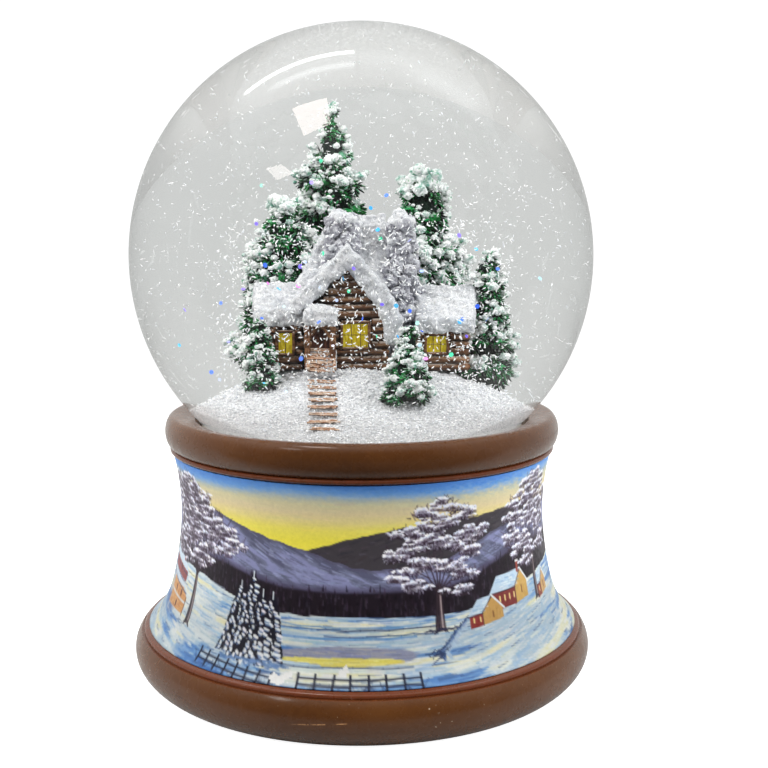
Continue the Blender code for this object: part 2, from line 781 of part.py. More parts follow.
def pin_faces(mesh):
    """Two faces on each track, at places that differ from track to track."""
    pins = []
    for face in outer_faces(mesh):
        middle = face.calc_center_median()
        track = int((middle.z - NOTE_LEFT) / (NOTE_RIGHT - NOTE_LEFT) * NOTE_TRACKS)
        turn = math.atan2(middle.y, middle.x) / math.tau
        place = round(turn * NOTE_SEGMENTS - 0.5) % NOTE_SEGMENTS
        first = track * 7 % NOTE_SEGMENTS
        if place in (first, (first + 13) % NOTE_SEGMENTS):
            pins.append(face)
    return pins


def make_note_cylinder(at):
    """A tube with raised pins, two to a track, that pluck the comb."""
    mesh = turned_mesh(tube_profile(1.3, NOTE_RADIUS, NOTE_LEFT, NOTE_RIGHT), NOTE_SEGMENTS)
    split_into_tracks(mesh)
    pins = pin_faces(mesh)
    bmesh.ops.inset_individual(mesh, faces=pins, thickness=0.3, use_even_offset=False)
    for face in pins:
        outward = face.calc_center_median()
        outward.z = 0.0
        bmesh.ops.translate(mesh, vec=outward.normalized() * PIN_HEIGHT, verts=face.verts)
    finish("note_cylinder", mesh, brass(), at, ALONG_X)


def bearing_hole(target, name, radius, left, right, at):
    """Bores the target along X for an axle."""
    hole = turned(name, rod_profile(radius, left, right), steel(), 24, at, ALONG_X)
    combine(target, hole, "DIFFERENCE")


def wheel_gear(teeth, root_share, tip_share, start):
    pitch_radius = teeth * WHEEL_MODULE / 2
    root, tip = pitch_radius - WHEEL_DEDENDUM, pitch_radius + WHEEL_ADDENDUM
    return gear_outline(teeth, root, tip, root_share, tip_share, start)


def make_cylinder_train():
    at = (0.0, 0.0, CYLINDER_AXIS_Z)
    turned("cylinder_arbor", rod_profile(1.0, -7.0, 24.5), steel(), 16, at, ALONG_X)
    make_note_cylinder(at)
    pinion = gear_outline(PINION_TEETH, 2.6, 4.1, 0.5, 0.24, math.pi)
    gear_along_x("cylinder_pinion", pinion, 1.3, -5.5, -3.5, at, steel())
    towards = math.pi / 2 - GOVERNOR_ANGLE
    wheel = wheel_gear(WHEEL_TEETH, 0.5, 0.26, towards + math.pi / WHEEL_TEETH)
    gear_along_x("cylinder_wheel", wheel, 1.3, 19.8, 21.3, at, brass())
    for i, left in enumerate((-1.7, 22.0)):
        post = box(f"cylinder_bracket_{i + 1}", (left, -3.0, 18.6), (left + 1.5, 3.0, 38.5), zinc())
        bearing_hole(post, f"bracket_hole_{i + 1}", 1.08, left - 1.0, left + 2.5, at)


def governor_place():
    centre = (WHEEL_TEETH + GOVERNOR_TEETH) * WHEEL_MODULE / 2
    y = centre * math.cos(GOVERNOR_ANGLE)
    return (0.0, y, CYLINDER_AXIS_Z + centre * math.sin(GOVERNOR_ANGLE))


def make_governor():
    at = governor_place()
    turned("governor_shaft", rod_profile(0.8, 18.8, 32.0), steel(), 16, at, ALONG_X)
    facing = math.pi / 2 - GOVERNOR_ANGLE + math.pi
    pinion = wheel_gear(GOVERNOR_TEETH, 0.46, 0.2, facing)
    gear_along_x("governor_pinion", pinion, 1.05, 19.6, 21.5, at, steel())
    blades = [(-4.2, -0.3), (-1.5, -0.3), (-1.5, -1.2), (1.5, -1.2), (1.5, -0.3), (4.2, -0.3)]
    blades += [(-x, -y) for x, y in blades]
    gear_along_x("governor_fan", blades, 1.05, 26.2, 30.0, at, brass())
    outline = [(24.2, 18.6), (32.0, 18.6), (32.0, 34.0), (30.8, 34.0), (30.8, 20.4)]
    outline += [(25.4, 20.4), (25.4, 34.0), (24.2, 34.0)]
    bracket = prism_along_y("governor_bracket", outline, at[1] - 2.2, at[1] + 2.2, zinc())
    bearing_hole(bracket, "governor_hole", 0.88, 23.0, 33.0, at)


def build():
    clear_scene()
    make_glass_globe()
    make_liquid()
    make_stopper()
    make_sealant()
    make_pedestal()
    make_picture_band()
    make_cover()
    make_underside_fasteners()
    make_felt_pads()
    make_mound()
    make_stair()
    make_cabin()
    make_roofs()
    make_porch()
    make_windows()
    make_chimneys()
    make_spruces()
    make_bedplate()
    make_comb()
    make_spring_barrel()
    make_mainspring()
    make_winder()
    make_cylinder_train()
    make_governor()


build()
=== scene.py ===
"""A musical snow globe: glass globe, snowy cabin scene, painted band and brown mouldings.

Places and sizes are in millimetres in the same frame as the CAD part and become metres when a
mesh is made. The front faces -Y and +Z is up.
"""

import math

import bpy
import numpy as np
from mathutils import Matrix, Vector


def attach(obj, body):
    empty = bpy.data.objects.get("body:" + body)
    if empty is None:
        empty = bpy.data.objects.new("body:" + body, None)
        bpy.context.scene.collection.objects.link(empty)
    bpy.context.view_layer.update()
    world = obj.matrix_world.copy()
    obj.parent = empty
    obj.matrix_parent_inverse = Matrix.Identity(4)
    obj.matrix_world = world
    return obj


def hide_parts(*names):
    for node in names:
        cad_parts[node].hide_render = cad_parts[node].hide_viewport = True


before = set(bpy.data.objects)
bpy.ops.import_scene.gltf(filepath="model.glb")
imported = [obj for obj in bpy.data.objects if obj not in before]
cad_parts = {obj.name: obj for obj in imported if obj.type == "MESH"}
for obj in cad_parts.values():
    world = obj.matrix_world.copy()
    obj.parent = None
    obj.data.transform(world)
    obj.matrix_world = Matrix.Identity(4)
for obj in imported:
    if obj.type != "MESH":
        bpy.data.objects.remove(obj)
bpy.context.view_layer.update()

MM = 0.001
BASE = "globe_and_pedestal"

# Globe
GLOBE_RADIUS, GLASS_WALL = 60.0, 2.5
GLOBE_CENTRE_Z = 109.2
NECK_RADIUS, NECK_BOTTOM_Z, NECK_TOP_Z = 41.0, 57.7, 66.2
GLASS_INDEX, LIQUID_INDEX = 1.5, 1.33

# Pedestal
BAND_TOP_Z, BAND_BOTTOM_Z, BAND_THICKNESS = 59.4, 13.8, 0.45
WAIST_RADIUS, WAIST_Z = 48.2, 44.0
BAND_COLUMNS, BAND_ROWS, BAND_INNER_ROWS = 1150, 168, 80
SCRATCH_Z = 8.0

# Scene
GROUND_Z = 87.3
MOUND_RADIUS, MOUND_BOTTOM_Z = 37.4, 66.8

# Camera
CAMERA_DISTANCE, CAMERA_HEIGHT = 310.0, 118.0
CAMERA_PITCH, CAMERA_YAW = 0.1345, 0.0188
CAMERA_LENS = 54.94


# ---------------------------------------------------------------- meshes


def mesh_object(name, points, groups, looks, smooth=True):
    """An object from points in millimetres and arrays of faces, each array of one face size."""
    mesh = bpy.data.meshes.new(name)
    points = np.asarray(points, np.float64)
    groups = [np.asarray(g, np.int32) for g in groups if len(g)]
    corners = np.concatenate([g.ravel() for g in groups])
    sizes = np.concatenate([np.full(len(g), g.shape[1], np.int32) for g in groups])
    starts = np.concatenate([[0], np.cumsum(sizes)[:-1]]).astype(np.int32)
    mesh.vertices.add(len(points))
    mesh.vertices.foreach_set("co", (points * MM).astype(np.float32).ravel())
    mesh.loops.add(len(corners))
    mesh.loops.foreach_set("vertex_index", corners)
    mesh.polygons.add(len(sizes))
    mesh.polygons.foreach_set("loop_start", starts)
    mesh.update(calc_edges=True)
    mesh.validate()
    for look in looks if isinstance(looks, (list, tuple)) else [looks]:
        mesh.materials.append(look)
    mesh.polygons.foreach_set("use_smooth", np.full(len(mesh.polygons), smooth))
    made = bpy.data.objects.new(name, mesh)
    bpy.context.scene.collection.objects.link(made)
    return made


def store_colour(made, layer, colours):
    """Keeps a linear colour for each of a mesh's points."""
    shade = np.ones((len(colours), 4), np.float32)
    shade[:, :3] = colours
    made.data.color_attributes.new(layer, "FLOAT_COLOR", "POINT").data.foreach_set("color", shade.ravel())


def settle(made, replaces=()):
    """Puts a finished piece on the fixed body, in place of its CAD nodes."""
    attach(made, BASE)
    if replaces:
        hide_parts(*replaces)
    return made


def turned_arrays(profile, segments):
    """Points and faces of a solid of revolution. Ends on the axis are closed, any other is a ring."""
    profile = np.asarray(profile, float)
    angle = np.linspace(0.0, math.tau, segments, endpoint=False)
    count = len(profile)
    points = np.empty((count, segments, 3))
    points[:, :, 0] = profile[:, :1] * np.cos(angle)
    points[:, :, 1] = profile[:, :1] * np.sin(angle)
    points[:, :, 2] = profile[:, 1:]
    index = np.arange(count * segments).reshape(count, segments)
    closed = profile[0, 0] > 1e-6
    rows = [(k, k + 1) for k in range(count - 1)] + ([(count - 1, 0)] if closed else [])
    quads, tris = [], []
    for a, b in rows:
        one, two = index[a], index[b]
        if profile[a, 0] < 1e-6:
            tris.append(np.stack([np.full(segments, index[a, 0]), two, np.roll(two, -1)], 1))
        elif profile[b, 0] < 1e-6:
            tris.append(np.stack([one, np.full(segments, index[b, 0]), np.roll(one, -1)], 1))
        else:
            quads.append(np.stack([one, two, np.roll(two, -1), np.roll(one, -1)], 1))
    flat = points.reshape(-1, 3)
    groups = [np.concatenate(g) for g in (quads, tris) if g]
    used = np.unique(np.concatenate([g.ravel() for g in groups]))
    renumber = np.full(len(flat), -1)
    renumber[used] = np.arange(len(used))
    return flat[used], [renumber[g] for g in groups]


def arc(centre, half_width, half_height, start, end, count):
    """Places along part of an ellipse, between two angles in degrees."""
    angle = np.radians(np.linspace(start, end, count + 1))
    return [
        (centre[0] + half_width * math.cos(a), centre[1] + half_height * math.sin(a)) for a in angle
    ]


def sphere_arc(ball_radius, end_radius, count):
    """The globe's outline from its top down to where it is as narrow as the end radius."""
    end = math.degrees(math.acos(end_radius / ball_radius))
    points = arc((0.0, GLOBE_CENTRE_Z), ball_radius, ball_radius, 90, -end, count)
    points[0] = (0.0, points[0][1])
    return points


def waist_radius(z):
    """The pedestal's outer radius: it widens a little above the waist and more below it."""
    upper = WAIST_RADIUS + 1.9 * (np.maximum(z - WAIST_Z, 0.0) / 16) ** 2
    share = np.maximum(WAIST_Z - z, 0.0) / 28
    return np.where(z > WAIST_Z, upper, WAIST_RADIUS + 4.6 * share**1.6 + 2.3 * share**7)


def wear(node, material):
    """Gives a CAD node that stays in view its finished material."""
    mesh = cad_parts[node].data
    mesh.materials.clear()
    mesh.materials.append(material)


class Heap:
    """Collects many small closed shapes that become one mesh."""

    def __init__(self):
        self.points, self.faces, self.count = [], {}, 0

    def add(self, points, faces):
        for size, group in faces.items():
            self.faces.setdefault(size, []).append(group + self.count)
        self.points.append(points)
        self.count += len(points)

    def add_copies(self, points, faces, turns, places):
        """Copies of one shape: turns holds a 3x3 matrix and places a centre for each."""
        if not len(places):
            return
        moved = np.einsum("nij,vj->nvi", turns, points) + places[:, None, :]
        step = len(points) * np.arange(len(places))[:, None, None]
        moved_faces = {s: (g[None] + step).reshape(-1, s) for s, g in faces.items()}
        self.add(moved.reshape(-1, 3), moved_faces)

    def rod(self, *shape):
        """A log, given as rod_arrays takes it."""
        self.add(*rod_arrays(*shape))

    def make(self, name, looks, smooth=True):
        points = np.concatenate(self.points)
        groups = [np.concatenate(g) for g in self.faces.values()]
        return mesh_object(name, points, groups, looks, smooth)


def ball_shape(level):
    """An icosphere of radius 1."""
    t = (1 + 5**0.5) / 2
    points = [
        (-1, t, 0), (1, t, 0), (-1, -t, 0), (1, -t, 0), (0, -1, t), (0, 1, t),
        (0, -1, -t), (0, 1, -t), (t, 0, -1), (t, 0, 1), (-t, 0, -1), (-t, 0, 1),
    ]
    tris = [
        (0, 11, 5), (0, 5, 1), (0, 1, 7), (0, 7, 10), (0, 10, 11), (1, 5, 9), (5, 11, 4),
        (11, 10, 2), (10, 7, 6), (7, 1, 8), (3, 9, 4), (3, 4, 2), (3, 2, 6), (3, 6, 8),
        (3, 8, 9), (4, 9, 5), (2, 4, 11), (6, 2, 10), (8, 6, 7), (9, 8, 1),
    ]
    points = [Vector(p).normalized() for p in points]
    for _ in range(level):
        middles, finer = {}, []
        for a, b, c in tris:
            cut = []
            for pair in ((a, b), (b, c), (c, a)):
                key = tuple(sorted(pair))
                if key not in middles:
                    middles[key] = len(points)
                    points.append((points[pair[0]] + points[pair[1]]).normalized())
                cut.append(middles[key])
            x, y, z = cut
            finer += [(a, x, z), (b, y, x), (c, z, y), (x, y, z)]
        tris = finer
    return np.array([tuple(p) for p in points]), {3: np.array(tris, np.int32)}


def spindle_shape(sides=4):
    """A needle from z 0 to z 1, widest a third of the way along, radius 1."""
    rings = ((0.0, 0.55), (0.35, 1.0), (0.75, 0.62))
    points = []
    for z, radius in rings:
        for i in range(sides):
            a = math.tau * i / sides
            points.append((radius * math.cos(a), radius * math.sin(a), z))
    points += [(0.0, 0.0, -0.08), (0.0, 0.0, 1.0)]
    low, tip = len(points) - 2, len(points) - 1
    quads, tris = [], []
    for i in range(sides):
        j = (i + 1) % sides
        for k in range(len(rings) - 1):
            a, b = k * sides, (k + 1) * sides
            quads.append((a + i, a + j, b + j, b + i))
        tris.append((low, j, i))
        top = (len(rings) - 1) * sides
        tris.append((top + i, top + j, tip))
    return np.array(points), {4: np.array(quads, np.int32), 3: np.array(tris, np.int32)}


def plate_shape(sides=6):
    """A flat plate of radius 1 and half thickness 1 along z."""
    points, quads, tris = [], [], []
    for z in (-1.0, 1.0):
        for i in range(sides):
            a = math.tau * i / sides
            points.append((math.cos(a), math.sin(a), z))
    points += [(0.0, 0.0, -1.0), (0.0, 0.0, 1.0)]
    for i in range(sides):
        j = (i + 1) % sides
        quads.append((i, j, sides + j, sides + i))
        tris.append((2 * sides, j, i))
        tris.append((2 * sides + 1, sides + i, sides + j))
    return np.array(points), {4: np.array(quads, np.int32), 3: np.array(tris, np.int32)}


def ripple(points, size, seed, octaves=3):
    """A smooth noise from about -1 to 1 at each point, made of sines with features of a size."""
    dice = np.random.default_rng(seed)
    total, share, weight = np.zeros(len(points)), 1.0, 0.0
    for _ in range(octaves):
        for _ in range(3):
            direction = dice.normal(size=3)
            direction *= math.tau / (size * np.linalg.norm(direction))
            other = dice.normal(size=3)
            other *= math.tau / (size * 1.7 * np.linalg.norm(other))
            swing = 1.3 * np.sin(points @ other + dice.uniform(0, math.tau))
            total += share * np.sin(points @ direction + swing + dice.uniform(0, math.tau))
        weight += 3 * share
        share *= 0.55
        size *= 0.5
    return total / weight * 1.8


def frames_along(directions):
    """For each direction a 3x3 matrix whose third column points along it."""
    z = directions / np.linalg.norm(directions, axis=1, keepdims=True)
    x = np.cross([0.0, 0.0, 1.0], z)
    short = np.linalg.norm(x, axis=1) < 1e-3
    x[short] = np.cross([0.0, 1.0, 0.0], z[short])
    x /= np.linalg.norm(x, axis=1, keepdims=True)
    return np.stack([x, np.cross(z, x), z], axis=2)


def random_turns(dice, count):
    """Rotation matrices that are spread evenly over all turns."""
    quarter = dice.normal(size=(count, 4))
    quarter /= np.linalg.norm(quarter, axis=1, keepdims=True)
    w, x, y, z = quarter.T
    rows = [
        [1 - 2 * (y * y + z * z), 2 * (x * y - z * w), 2 * (x * z + y * w)],
        [2 * (x * y + z * w), 1 - 2 * (x * x + z * z), 2 * (y * z - x * w)],
        [2 * (x * z - y * w), 2 * (y * z + x * w), 1 - 2 * (x * x + y * y)],
    ]
    return np.array(rows).transpose(2, 0, 1)


# ---------------------------------------------------------------- materials


class Wiring:
    """A shader tree being wired up."""

    def __init__(self, tree):
        self.tree = tree

    def put(self, target, value):
        """Puts a number, a colour, a vector or another node's output on a socket."""
        if isinstance(value, bpy.types.NodeSocket):
            self.tree.links.new(value, target)
        elif isinstance(value, (tuple, list)):
            target.default_value = (*value[:3], 1.0) if len(target.default_value) == 4 else value
        else:
            target.default_value = value

    def add(self, kind, inputs=None, **settings):
        """A new node with its settings, and with a value on each named or numbered input."""
        node = self.tree.nodes.new(kind)
        for name, value in settings.items():
            setattr(node, name, value)
        for socket, value in (inputs or {}).items():
            self.put(node.inputs[socket], value)
        return node

    def math(self, operation, a, b=0.0, clamp=False):
        return self.add("ShaderNodeMath", {0: a, 1: b}, operation=operation, use_clamp=clamp).outputs[0]

    def times(self, a, b):
        return self.math("MULTIPLY", a, b)

    def spread(self, value, low, high, to_low=0.0, to_high=1.0):
        """A smooth step from to_low, where the value is low, to to_high, where it is high."""
        ends = {"Value": value, "From Min": low, "From Max": high, "To Min": to_low, "To Max": to_high}
        return self.add("ShaderNodeMapRange", ends, interpolation_type="SMOOTHSTEP").outputs["Result"]

    def mix(self, fac, a, b, kind="MIX"):
        inputs = {"Factor": fac, 6: a, 7: b}
        return self.add("ShaderNodeMix", inputs, data_type="RGBA", blend_type=kind).outputs[2]

    def either(self, fac, first, second):
        inputs = {0: fac, 1: first.outputs[0], 2: second.outputs[0]}
        return self.add("ShaderNodeMixShader", inputs).outputs[0]

    def both(self, first, second):
        return self.add("ShaderNodeAddShader", {0: first.outputs[0], 1: second.outputs[0]}).outputs[0]


class Look(Wiring):
    """A material being built. Coordinates are the object's own, in millimetres."""

    def __init__(self, name, colour, roughness=0.5, metallic=0.0):
        self.material = bpy.data.materials.new(name)
        self.material.use_nodes = True
        super().__init__(self.material.node_tree)
        self.shader = self.tree.nodes["Principled BSDF"]
        self.surface = self.tree.nodes["Material Output"].inputs["Surface"]
        self.set("Base Color", colour)
        self.set("Roughness", roughness)
        self.set("Metallic", metallic)
        where = self.add("ShaderNodeTexCoord").outputs["Object"]
        scaled = {0: where, "Scale": 1.0 / MM}
        self.place = self.add("ShaderNodeVectorMath", scaled, operation="SCALE").outputs[0]

    def set(self, socket, value):
        self.put(self.shader.inputs[socket], value)

    def gloss(self, fac, smooth, rough):
        """Roughness that follows a noise, between two values."""
        self.set("Roughness", self.spread(fac, 0.3, 0.7, smooth, rough))

    def stretched(self, factors):
        inputs = {0: self.place, 1: factors}
        return self.add("ShaderNodeVectorMath", inputs, operation="MULTIPLY").outputs[0]

    def noise(self, size, detail=4.0, roughness=0.55, vector=None):
        """Noise with features of a size in millimetres."""
        inputs = {"Vector": vector or self.place, "Scale": 1.0 / size}
        inputs |= {"Detail": detail, "Roughness": roughness}
        return self.add("ShaderNodeTexNoise", inputs).outputs["Fac"]

    def cells(self, size):
        inputs = {"Vector": self.place, "Scale": 1.0 / size}
        return self.add("ShaderNodeTexVoronoi", inputs).outputs["Distance"]

    def island(self):
        """A random number for each loose part of the mesh."""
        return self.add("ShaderNodeNewGeometry").outputs["Random Per Island"]

    def painted(self, layer):
        return self.add("ShaderNodeVertexColor", layer_name=layer).outputs["Color"]

    def part(self, axis):
        return self.add("ShaderNodeSeparateXYZ", {0: self.place}).outputs[axis]

    def upward(self, low, high, to_low=0.0, to_high=1.0):
        """A smooth step over the surface's slope, from -1 facing down to 1 facing up."""
        normal = self.add("ShaderNodeNewGeometry").outputs["Normal"]
        slope = self.add("ShaderNodeSeparateXYZ", {0: normal}).outputs["Z"]
        return self.spread(slope, low, high, to_low, to_high)

    def ramp(self, fac, stops):
        """Colours along a value, from (place, colour) stops."""
        node = self.add("ShaderNodeValToRGB", {"Fac": fac})
        band = node.color_ramp
        while len(band.elements) < len(stops):
            band.elements.new(0.5)
        for element, (place, colour) in zip(band.elements, stops):
            element.position = place
            element.color = (*colour, 1.0)
        return node.outputs["Color"]

    def bump(self, height, strength, distance):
        """Bump of a depth in millimetres, on top of any that is there already."""
        inputs = {"Strength": strength, "Distance": distance * MM, "Height": height}
        previous = self.shader.inputs["Normal"].links
        if previous:
            inputs["Normal"] = previous[0].from_socket
        self.set("Normal", self.add("ShaderNodeBump", inputs).outputs["Normal"])


def linear(display):
    """Display colours from 0 to 255 as linear values from 0 to 1."""
    values = np.asarray(display) / 255.0
    return np.where(values <= 0.04045, values / 12.92, ((values + 0.055) / 1.055) ** 2.4)


def srgb(red, green, blue):
    """One colour given as display values."""
    return tuple(float(v) for v in linear([red, green, blue]))


WHITE = (1.0, 1.0, 1.0)
BROWN_DARK, BROWN, BROWN_LIGHT = srgb(72, 40, 15), srgb(84, 48, 19), srgb(98, 60, 26)
RUST, CHIP, SCRATCH = srgb(100, 48, 24), (0.62, 0.5, 0.38), (0.55, 0.28, 0.12)
SNOW_WHITE, SNOW_SHADE, SNOW_GREY = srgb(236, 237, 239), srgb(214, 217, 222), srgb(160, 164, 172)
GROUND_WHITE, GROUND_RIM, GROUND_DARK = srgb(238, 239, 242), srgb(212, 213, 214), srgb(158, 162, 168)
FROST_WHITE, FROST_SHADE, FROST_TEAL = srgb(250, 252, 252), srgb(206, 222, 218), srgb(112, 168, 150)
LOG_DARK, LOG_BROWN, LOG_TAN = srgb(38, 18, 9), srgb(106, 66, 40), srgb(176, 132, 94)
LOG_PALE, LOG_REST, LOG_FROST = srgb(226, 200, 172), srgb(108, 70, 46), srgb(226, 214, 202)
STONE_REST, STONE_FROST = srgb(154, 154, 164), srgb(226, 228, 232)
NEEDLE_BLACK, NEEDLE_DARK, NEEDLE_GREEN = srgb(3, 11, 10), srgb(5, 50, 22), srgb(16, 118, 36)
NEEDLE_TEAL, NEEDLE_PALE, NEEDLE_FROST = srgb(40, 158, 84), srgb(138, 206, 172), srgb(222, 240, 234)


GLASS_TINT, LIQUID_TINT = (0.985, 0.99, 0.99), (0.985, 0.99, 0.985)


def clear_look(name, index, tint):
    """Clear glass or liquid that lets the lamps through to what is inside it."""
    look = Look(name, tint, 0.0)
    look.set("Transmission Weight", 1.0)
    look.set("IOR", index)
    look.set("Base Color", look.ramp(look.noise(40.0, 2.0), [(0.3, tint), (0.8, WHITE)]))
    in_shadow = look.add("ShaderNodeLightPath").outputs["Is Shadow Ray"]
    look.put(look.surface, look.either(in_shadow, look.shader, look.add("ShaderNodeBsdfTransparent")))
    return look.material


# ---------------------------------------------------------------- glass and liquid


def make_globe():
    """Outer faces bend light from air to glass, inner faces from glass to the liquid."""
    outside = sphere_arc(GLOBE_RADIUS, NECK_RADIUS, 110)
    inside = sphere_arc(GLOBE_RADIUS - GLASS_WALL, NECK_RADIUS - GLASS_WALL, 110)
    neck = [(NECK_RADIUS, NECK_BOTTOM_Z), (NECK_RADIUS - GLASS_WALL, NECK_BOTTOM_Z)]
    points, groups = turned_arrays(outside + neck + inside[::-1], 192)
    looks = [
        clear_look("clear_glass_outer", GLASS_INDEX, GLASS_TINT),
        clear_look("clear_glass_inner", GLASS_INDEX / LIQUID_INDEX, GLASS_TINT),
    ]
    made = mesh_object("glass_globe_body", points, groups, looks)
    centres = np.array([tuple(p.center) for p in made.data.polygons]) / MM
    reach = np.linalg.norm(centres - (0.0, 0.0, GLOBE_CENTRE_Z), axis=1)
    radius = np.linalg.norm(centres[:, :2], axis=1)
    in_ball = centres[:, 2] > NECK_TOP_Z
    half_wall = GLASS_WALL / 2
    inner_faces = np.where(in_ball, reach < GLOBE_RADIUS - half_wall, radius < NECK_RADIUS - half_wall)
    made.data.polygons.foreach_set("material_index", inner_faces.astype(np.int32))
    settle(made, replaces=("glass_globe",))


def make_liquid():
    """The liquid's own surface, just inside the glass, adds no bending of its own."""
    plug_radius, bottom = MOUND_RADIUS + 0.6, MOUND_BOTTOM_Z - 0.1
    ball = sphere_arc(GLOBE_RADIUS - GLASS_WALL - 0.6, plug_radius, 72)
    points, groups = turned_arrays(ball + [(plug_radius, bottom), (0.0, bottom)], 128)
    look = clear_look("clear_liquid", 1.0, LIQUID_TINT)
    settle(mesh_object("clear_liquid_body", points, groups, look), replaces=("liquid_fill",))


# ---------------------------------------------------------------- studio


def direction(azimuth, elevation):
    """Azimuth is from +Y towards +X, in degrees."""
    a, e = math.radians(azimuth), math.radians(elevation)
    return Vector((math.sin(a) * math.cos(e), math.cos(a) * math.cos(e), math.sin(e)))


PANEL_FAR, PANEL_HEIGHT = 1200.0, 1200.0
PANEL_COLUMNS, PANEL_ROWS = 48, 24
TUBE_COLOUR = (0.95, 0.98, 1.0)
WALL_FRONT, WALL_BACK, CEILING_GAIN = 0.10, 0.68, 0.64
FLOOR_HALF_WIDTH, FLOOR_FRONT_Y, FLOOR_LEFT_BACK_Y, FLOOR_RIGHT_BACK_Y = 700.0, -900.0, 390.0, 455.0
FLOOR_DARK, FLOOR_LIGHT = (0.495, 0.495, 0.49), (0.52, 0.52, 0.515)
# The floor's front colour is a painted shadow: nearly black, as if that part lay out of the light.
FLOOR_SIDES, FLOOR_PAINTED_SHADOW = (0.385, 0.385, 0.383), (0.08, 0.08, 0.08)


def lamp_look(name, colour, strength):
    """An emission material whose strength follows the mesh's own falloff towards its edges."""
    material = bpy.data.materials.new(name)
    material.use_nodes = True
    material.node_tree.nodes.clear()
    wiring = Wiring(material.node_tree)
    falloff = wiring.add("ShaderNodeVertexColor", layer_name="falloff").outputs["Color"]
    inputs = {"Color": colour, "Strength": wiring.times(falloff, strength)}
    glow = wiring.add("ShaderNodeEmission", inputs)
    beyond = wiring.add("ShaderNodeBsdfTransparent")
    wiring.add("ShaderNodeOutputMaterial", {0: wiring.both(glow, beyond)})
    return material


def sheet_quads(columns, rows):
    """The faces of a sheet of points, and the numbers of its points as a grid."""
    index = np.arange(columns * rows).reshape(columns, rows)
    quads = np.stack([index[:-1, :-1], index[1:, :-1], index[1:, 1:], index[:-1, 1:]], -1)
    return quads.reshape(-1, 4), index


def panel(name, corners, strength, colour, soft=(0.0, 0.0, 0.0, 0.0)):
    """A glowing studio panel that is only seen mirrored.

    Soft holds the shares of it that fade at the left, right, near and far edges.
    """
    grid = (np.linspace(0, 1, PANEL_COLUMNS), np.linspace(0, 1, PANEL_ROWS))
    u, v = np.meshgrid(*grid, indexing="ij")
    a, b, c, d = (np.array(tuple(corner)) for corner in corners)
    u3, v3 = u[..., None], v[..., None]
    points = (a * (1 - u3) + b * u3) * (1 - v3) + (d * (1 - u3) + c * u3) * v3
    quads, _ = sheet_quads(PANEL_COLUMNS, PANEL_ROWS)
    made = mesh_object(name, points.reshape(-1, 3), [quads], lamp_look(name + "_glow", colour, strength))
    fade = np.ones_like(u)
    for share, width in zip((u, 1 - u, v, 1 - v), soft):
        if width:
            fade *= smooth_step(share, 0.0, width)
    store_colour(made, "falloff", np.repeat(fade.reshape(-1, 1), 3, axis=1))
    made.visible_camera = False
    made.visible_transmission = False


def make_panels():
    """Two windows and some soft tubes overhead, where the photo shows their mirror images."""
    centre = Vector((0.0, 0.0, GLOBE_CENTRE_Z))
    first = [(-109.5, 64.0), (-127.0, 75.0), (-154.0, 63.0), (-138.5, 55.0)]
    second = [(-126, 38), (-134, 41), (-143, 38), (-135, 34)]
    panel("studio_panel_1", [centre + direction(*d) * PANEL_FAR for d in first], 7.4, (1.0, 0.88, 0.83))
    panel("studio_panel_2", [centre + direction(*d) * PANEL_FAR for d in second], 6.6, (1.0, 0.93, 0.89))
    for number, (name, left, right, near, deep, strength, soft) in enumerate((
        ("studio_tube_1", -0.735, -0.03, 0.350, 0.090, 9.0, (0.06, 0.02, 0.4, 0.4)),
        ("studio_tube_2", -0.62, -0.03, 0.130, 0.130, 2.2, (0.3, 0.02, 0.5, 0.4)),
        ("studio_glow_1", -0.86, -0.02, -0.11, 0.60, 0.5, (0.22, 0.01, 0.4, 0.3)),
        ("studio_tube_3", 0.16, 0.90, 0.02, 0.34, 0.9, (0.4, 0.3, 0.4, 0.5)),
        ("studio_glow_2", -0.02, 0.94, -0.11, 0.60, 0.45, (0.01, 0.25, 0.4, 0.3)),
    )):
        corners = [(left, near), (right, near), (right, near + deep), (left, near + deep)]
        height = PANEL_HEIGHT + 8.0 * number
        spots = [centre + Vector((x * PANEL_HEIGHT, y * PANEL_HEIGHT, height)) for x, y in corners]
        panel(name, spots, strength, TUBE_COLOUR, soft)


def area_lamp(name, place, towards, size, power, colour):
    """A soft square lamp that lights surfaces but isn't mirrored in the glass."""
    data = bpy.data.lights.new(name, "AREA")
    data.shape = "RECTANGLE"
    data.size = data.size_y = size
    data.energy = power
    data.color = colour
    lamp = bpy.data.objects.new(name, data)
    lamp.location = Vector(place) * MM
    aim = Vector(towards) * MM - lamp.location
    lamp.rotation_euler = aim.to_track_quat("-Z", "Y").to_euler()
    lamp.visible_glossy = False
    lamp.visible_transmission = False
    lamp.visible_camera = False
    bpy.context.scene.collection.objects.link(lamp)


def make_world():
    """White for the camera. The object sees a studio: light ceiling, grey walls, darker in front."""
    world = bpy.data.worlds.new("studio")
    bpy.context.scene.world = world
    world.use_nodes = True
    world.node_tree.nodes.clear()
    wiring = Wiring(world.node_tree)
    towards = wiring.add("ShaderNodeTexCoord").outputs["Generated"]
    axes = wiring.add("ShaderNodeSeparateXYZ", {0: towards}).outputs
    wall = wiring.spread(axes["Y"], -0.95, 0.5, WALL_FRONT, WALL_BACK)
    high = wiring.spread(axes["Z"], 0.45, 0.95, 0.0, CEILING_GAIN)
    near = wiring.spread(axes["Y"], 0.3, 0.6, 1.0, 0.2)
    strength = wiring.math("ADD", wall, wiring.times(high, near))
    felt = wiring.add("ShaderNodeBackground", {"Color": (0.985, 1.0, 0.985), "Strength": strength})
    seen = wiring.add("ShaderNodeBackground", {"Color": WHITE, "Strength": 1.1})
    by_camera = wiring.add("ShaderNodeLightPath").outputs["Is Camera Ray"]
    wiring.add("ShaderNodeOutputWorld", {0: wiring.either(by_camera, felt, seen)})


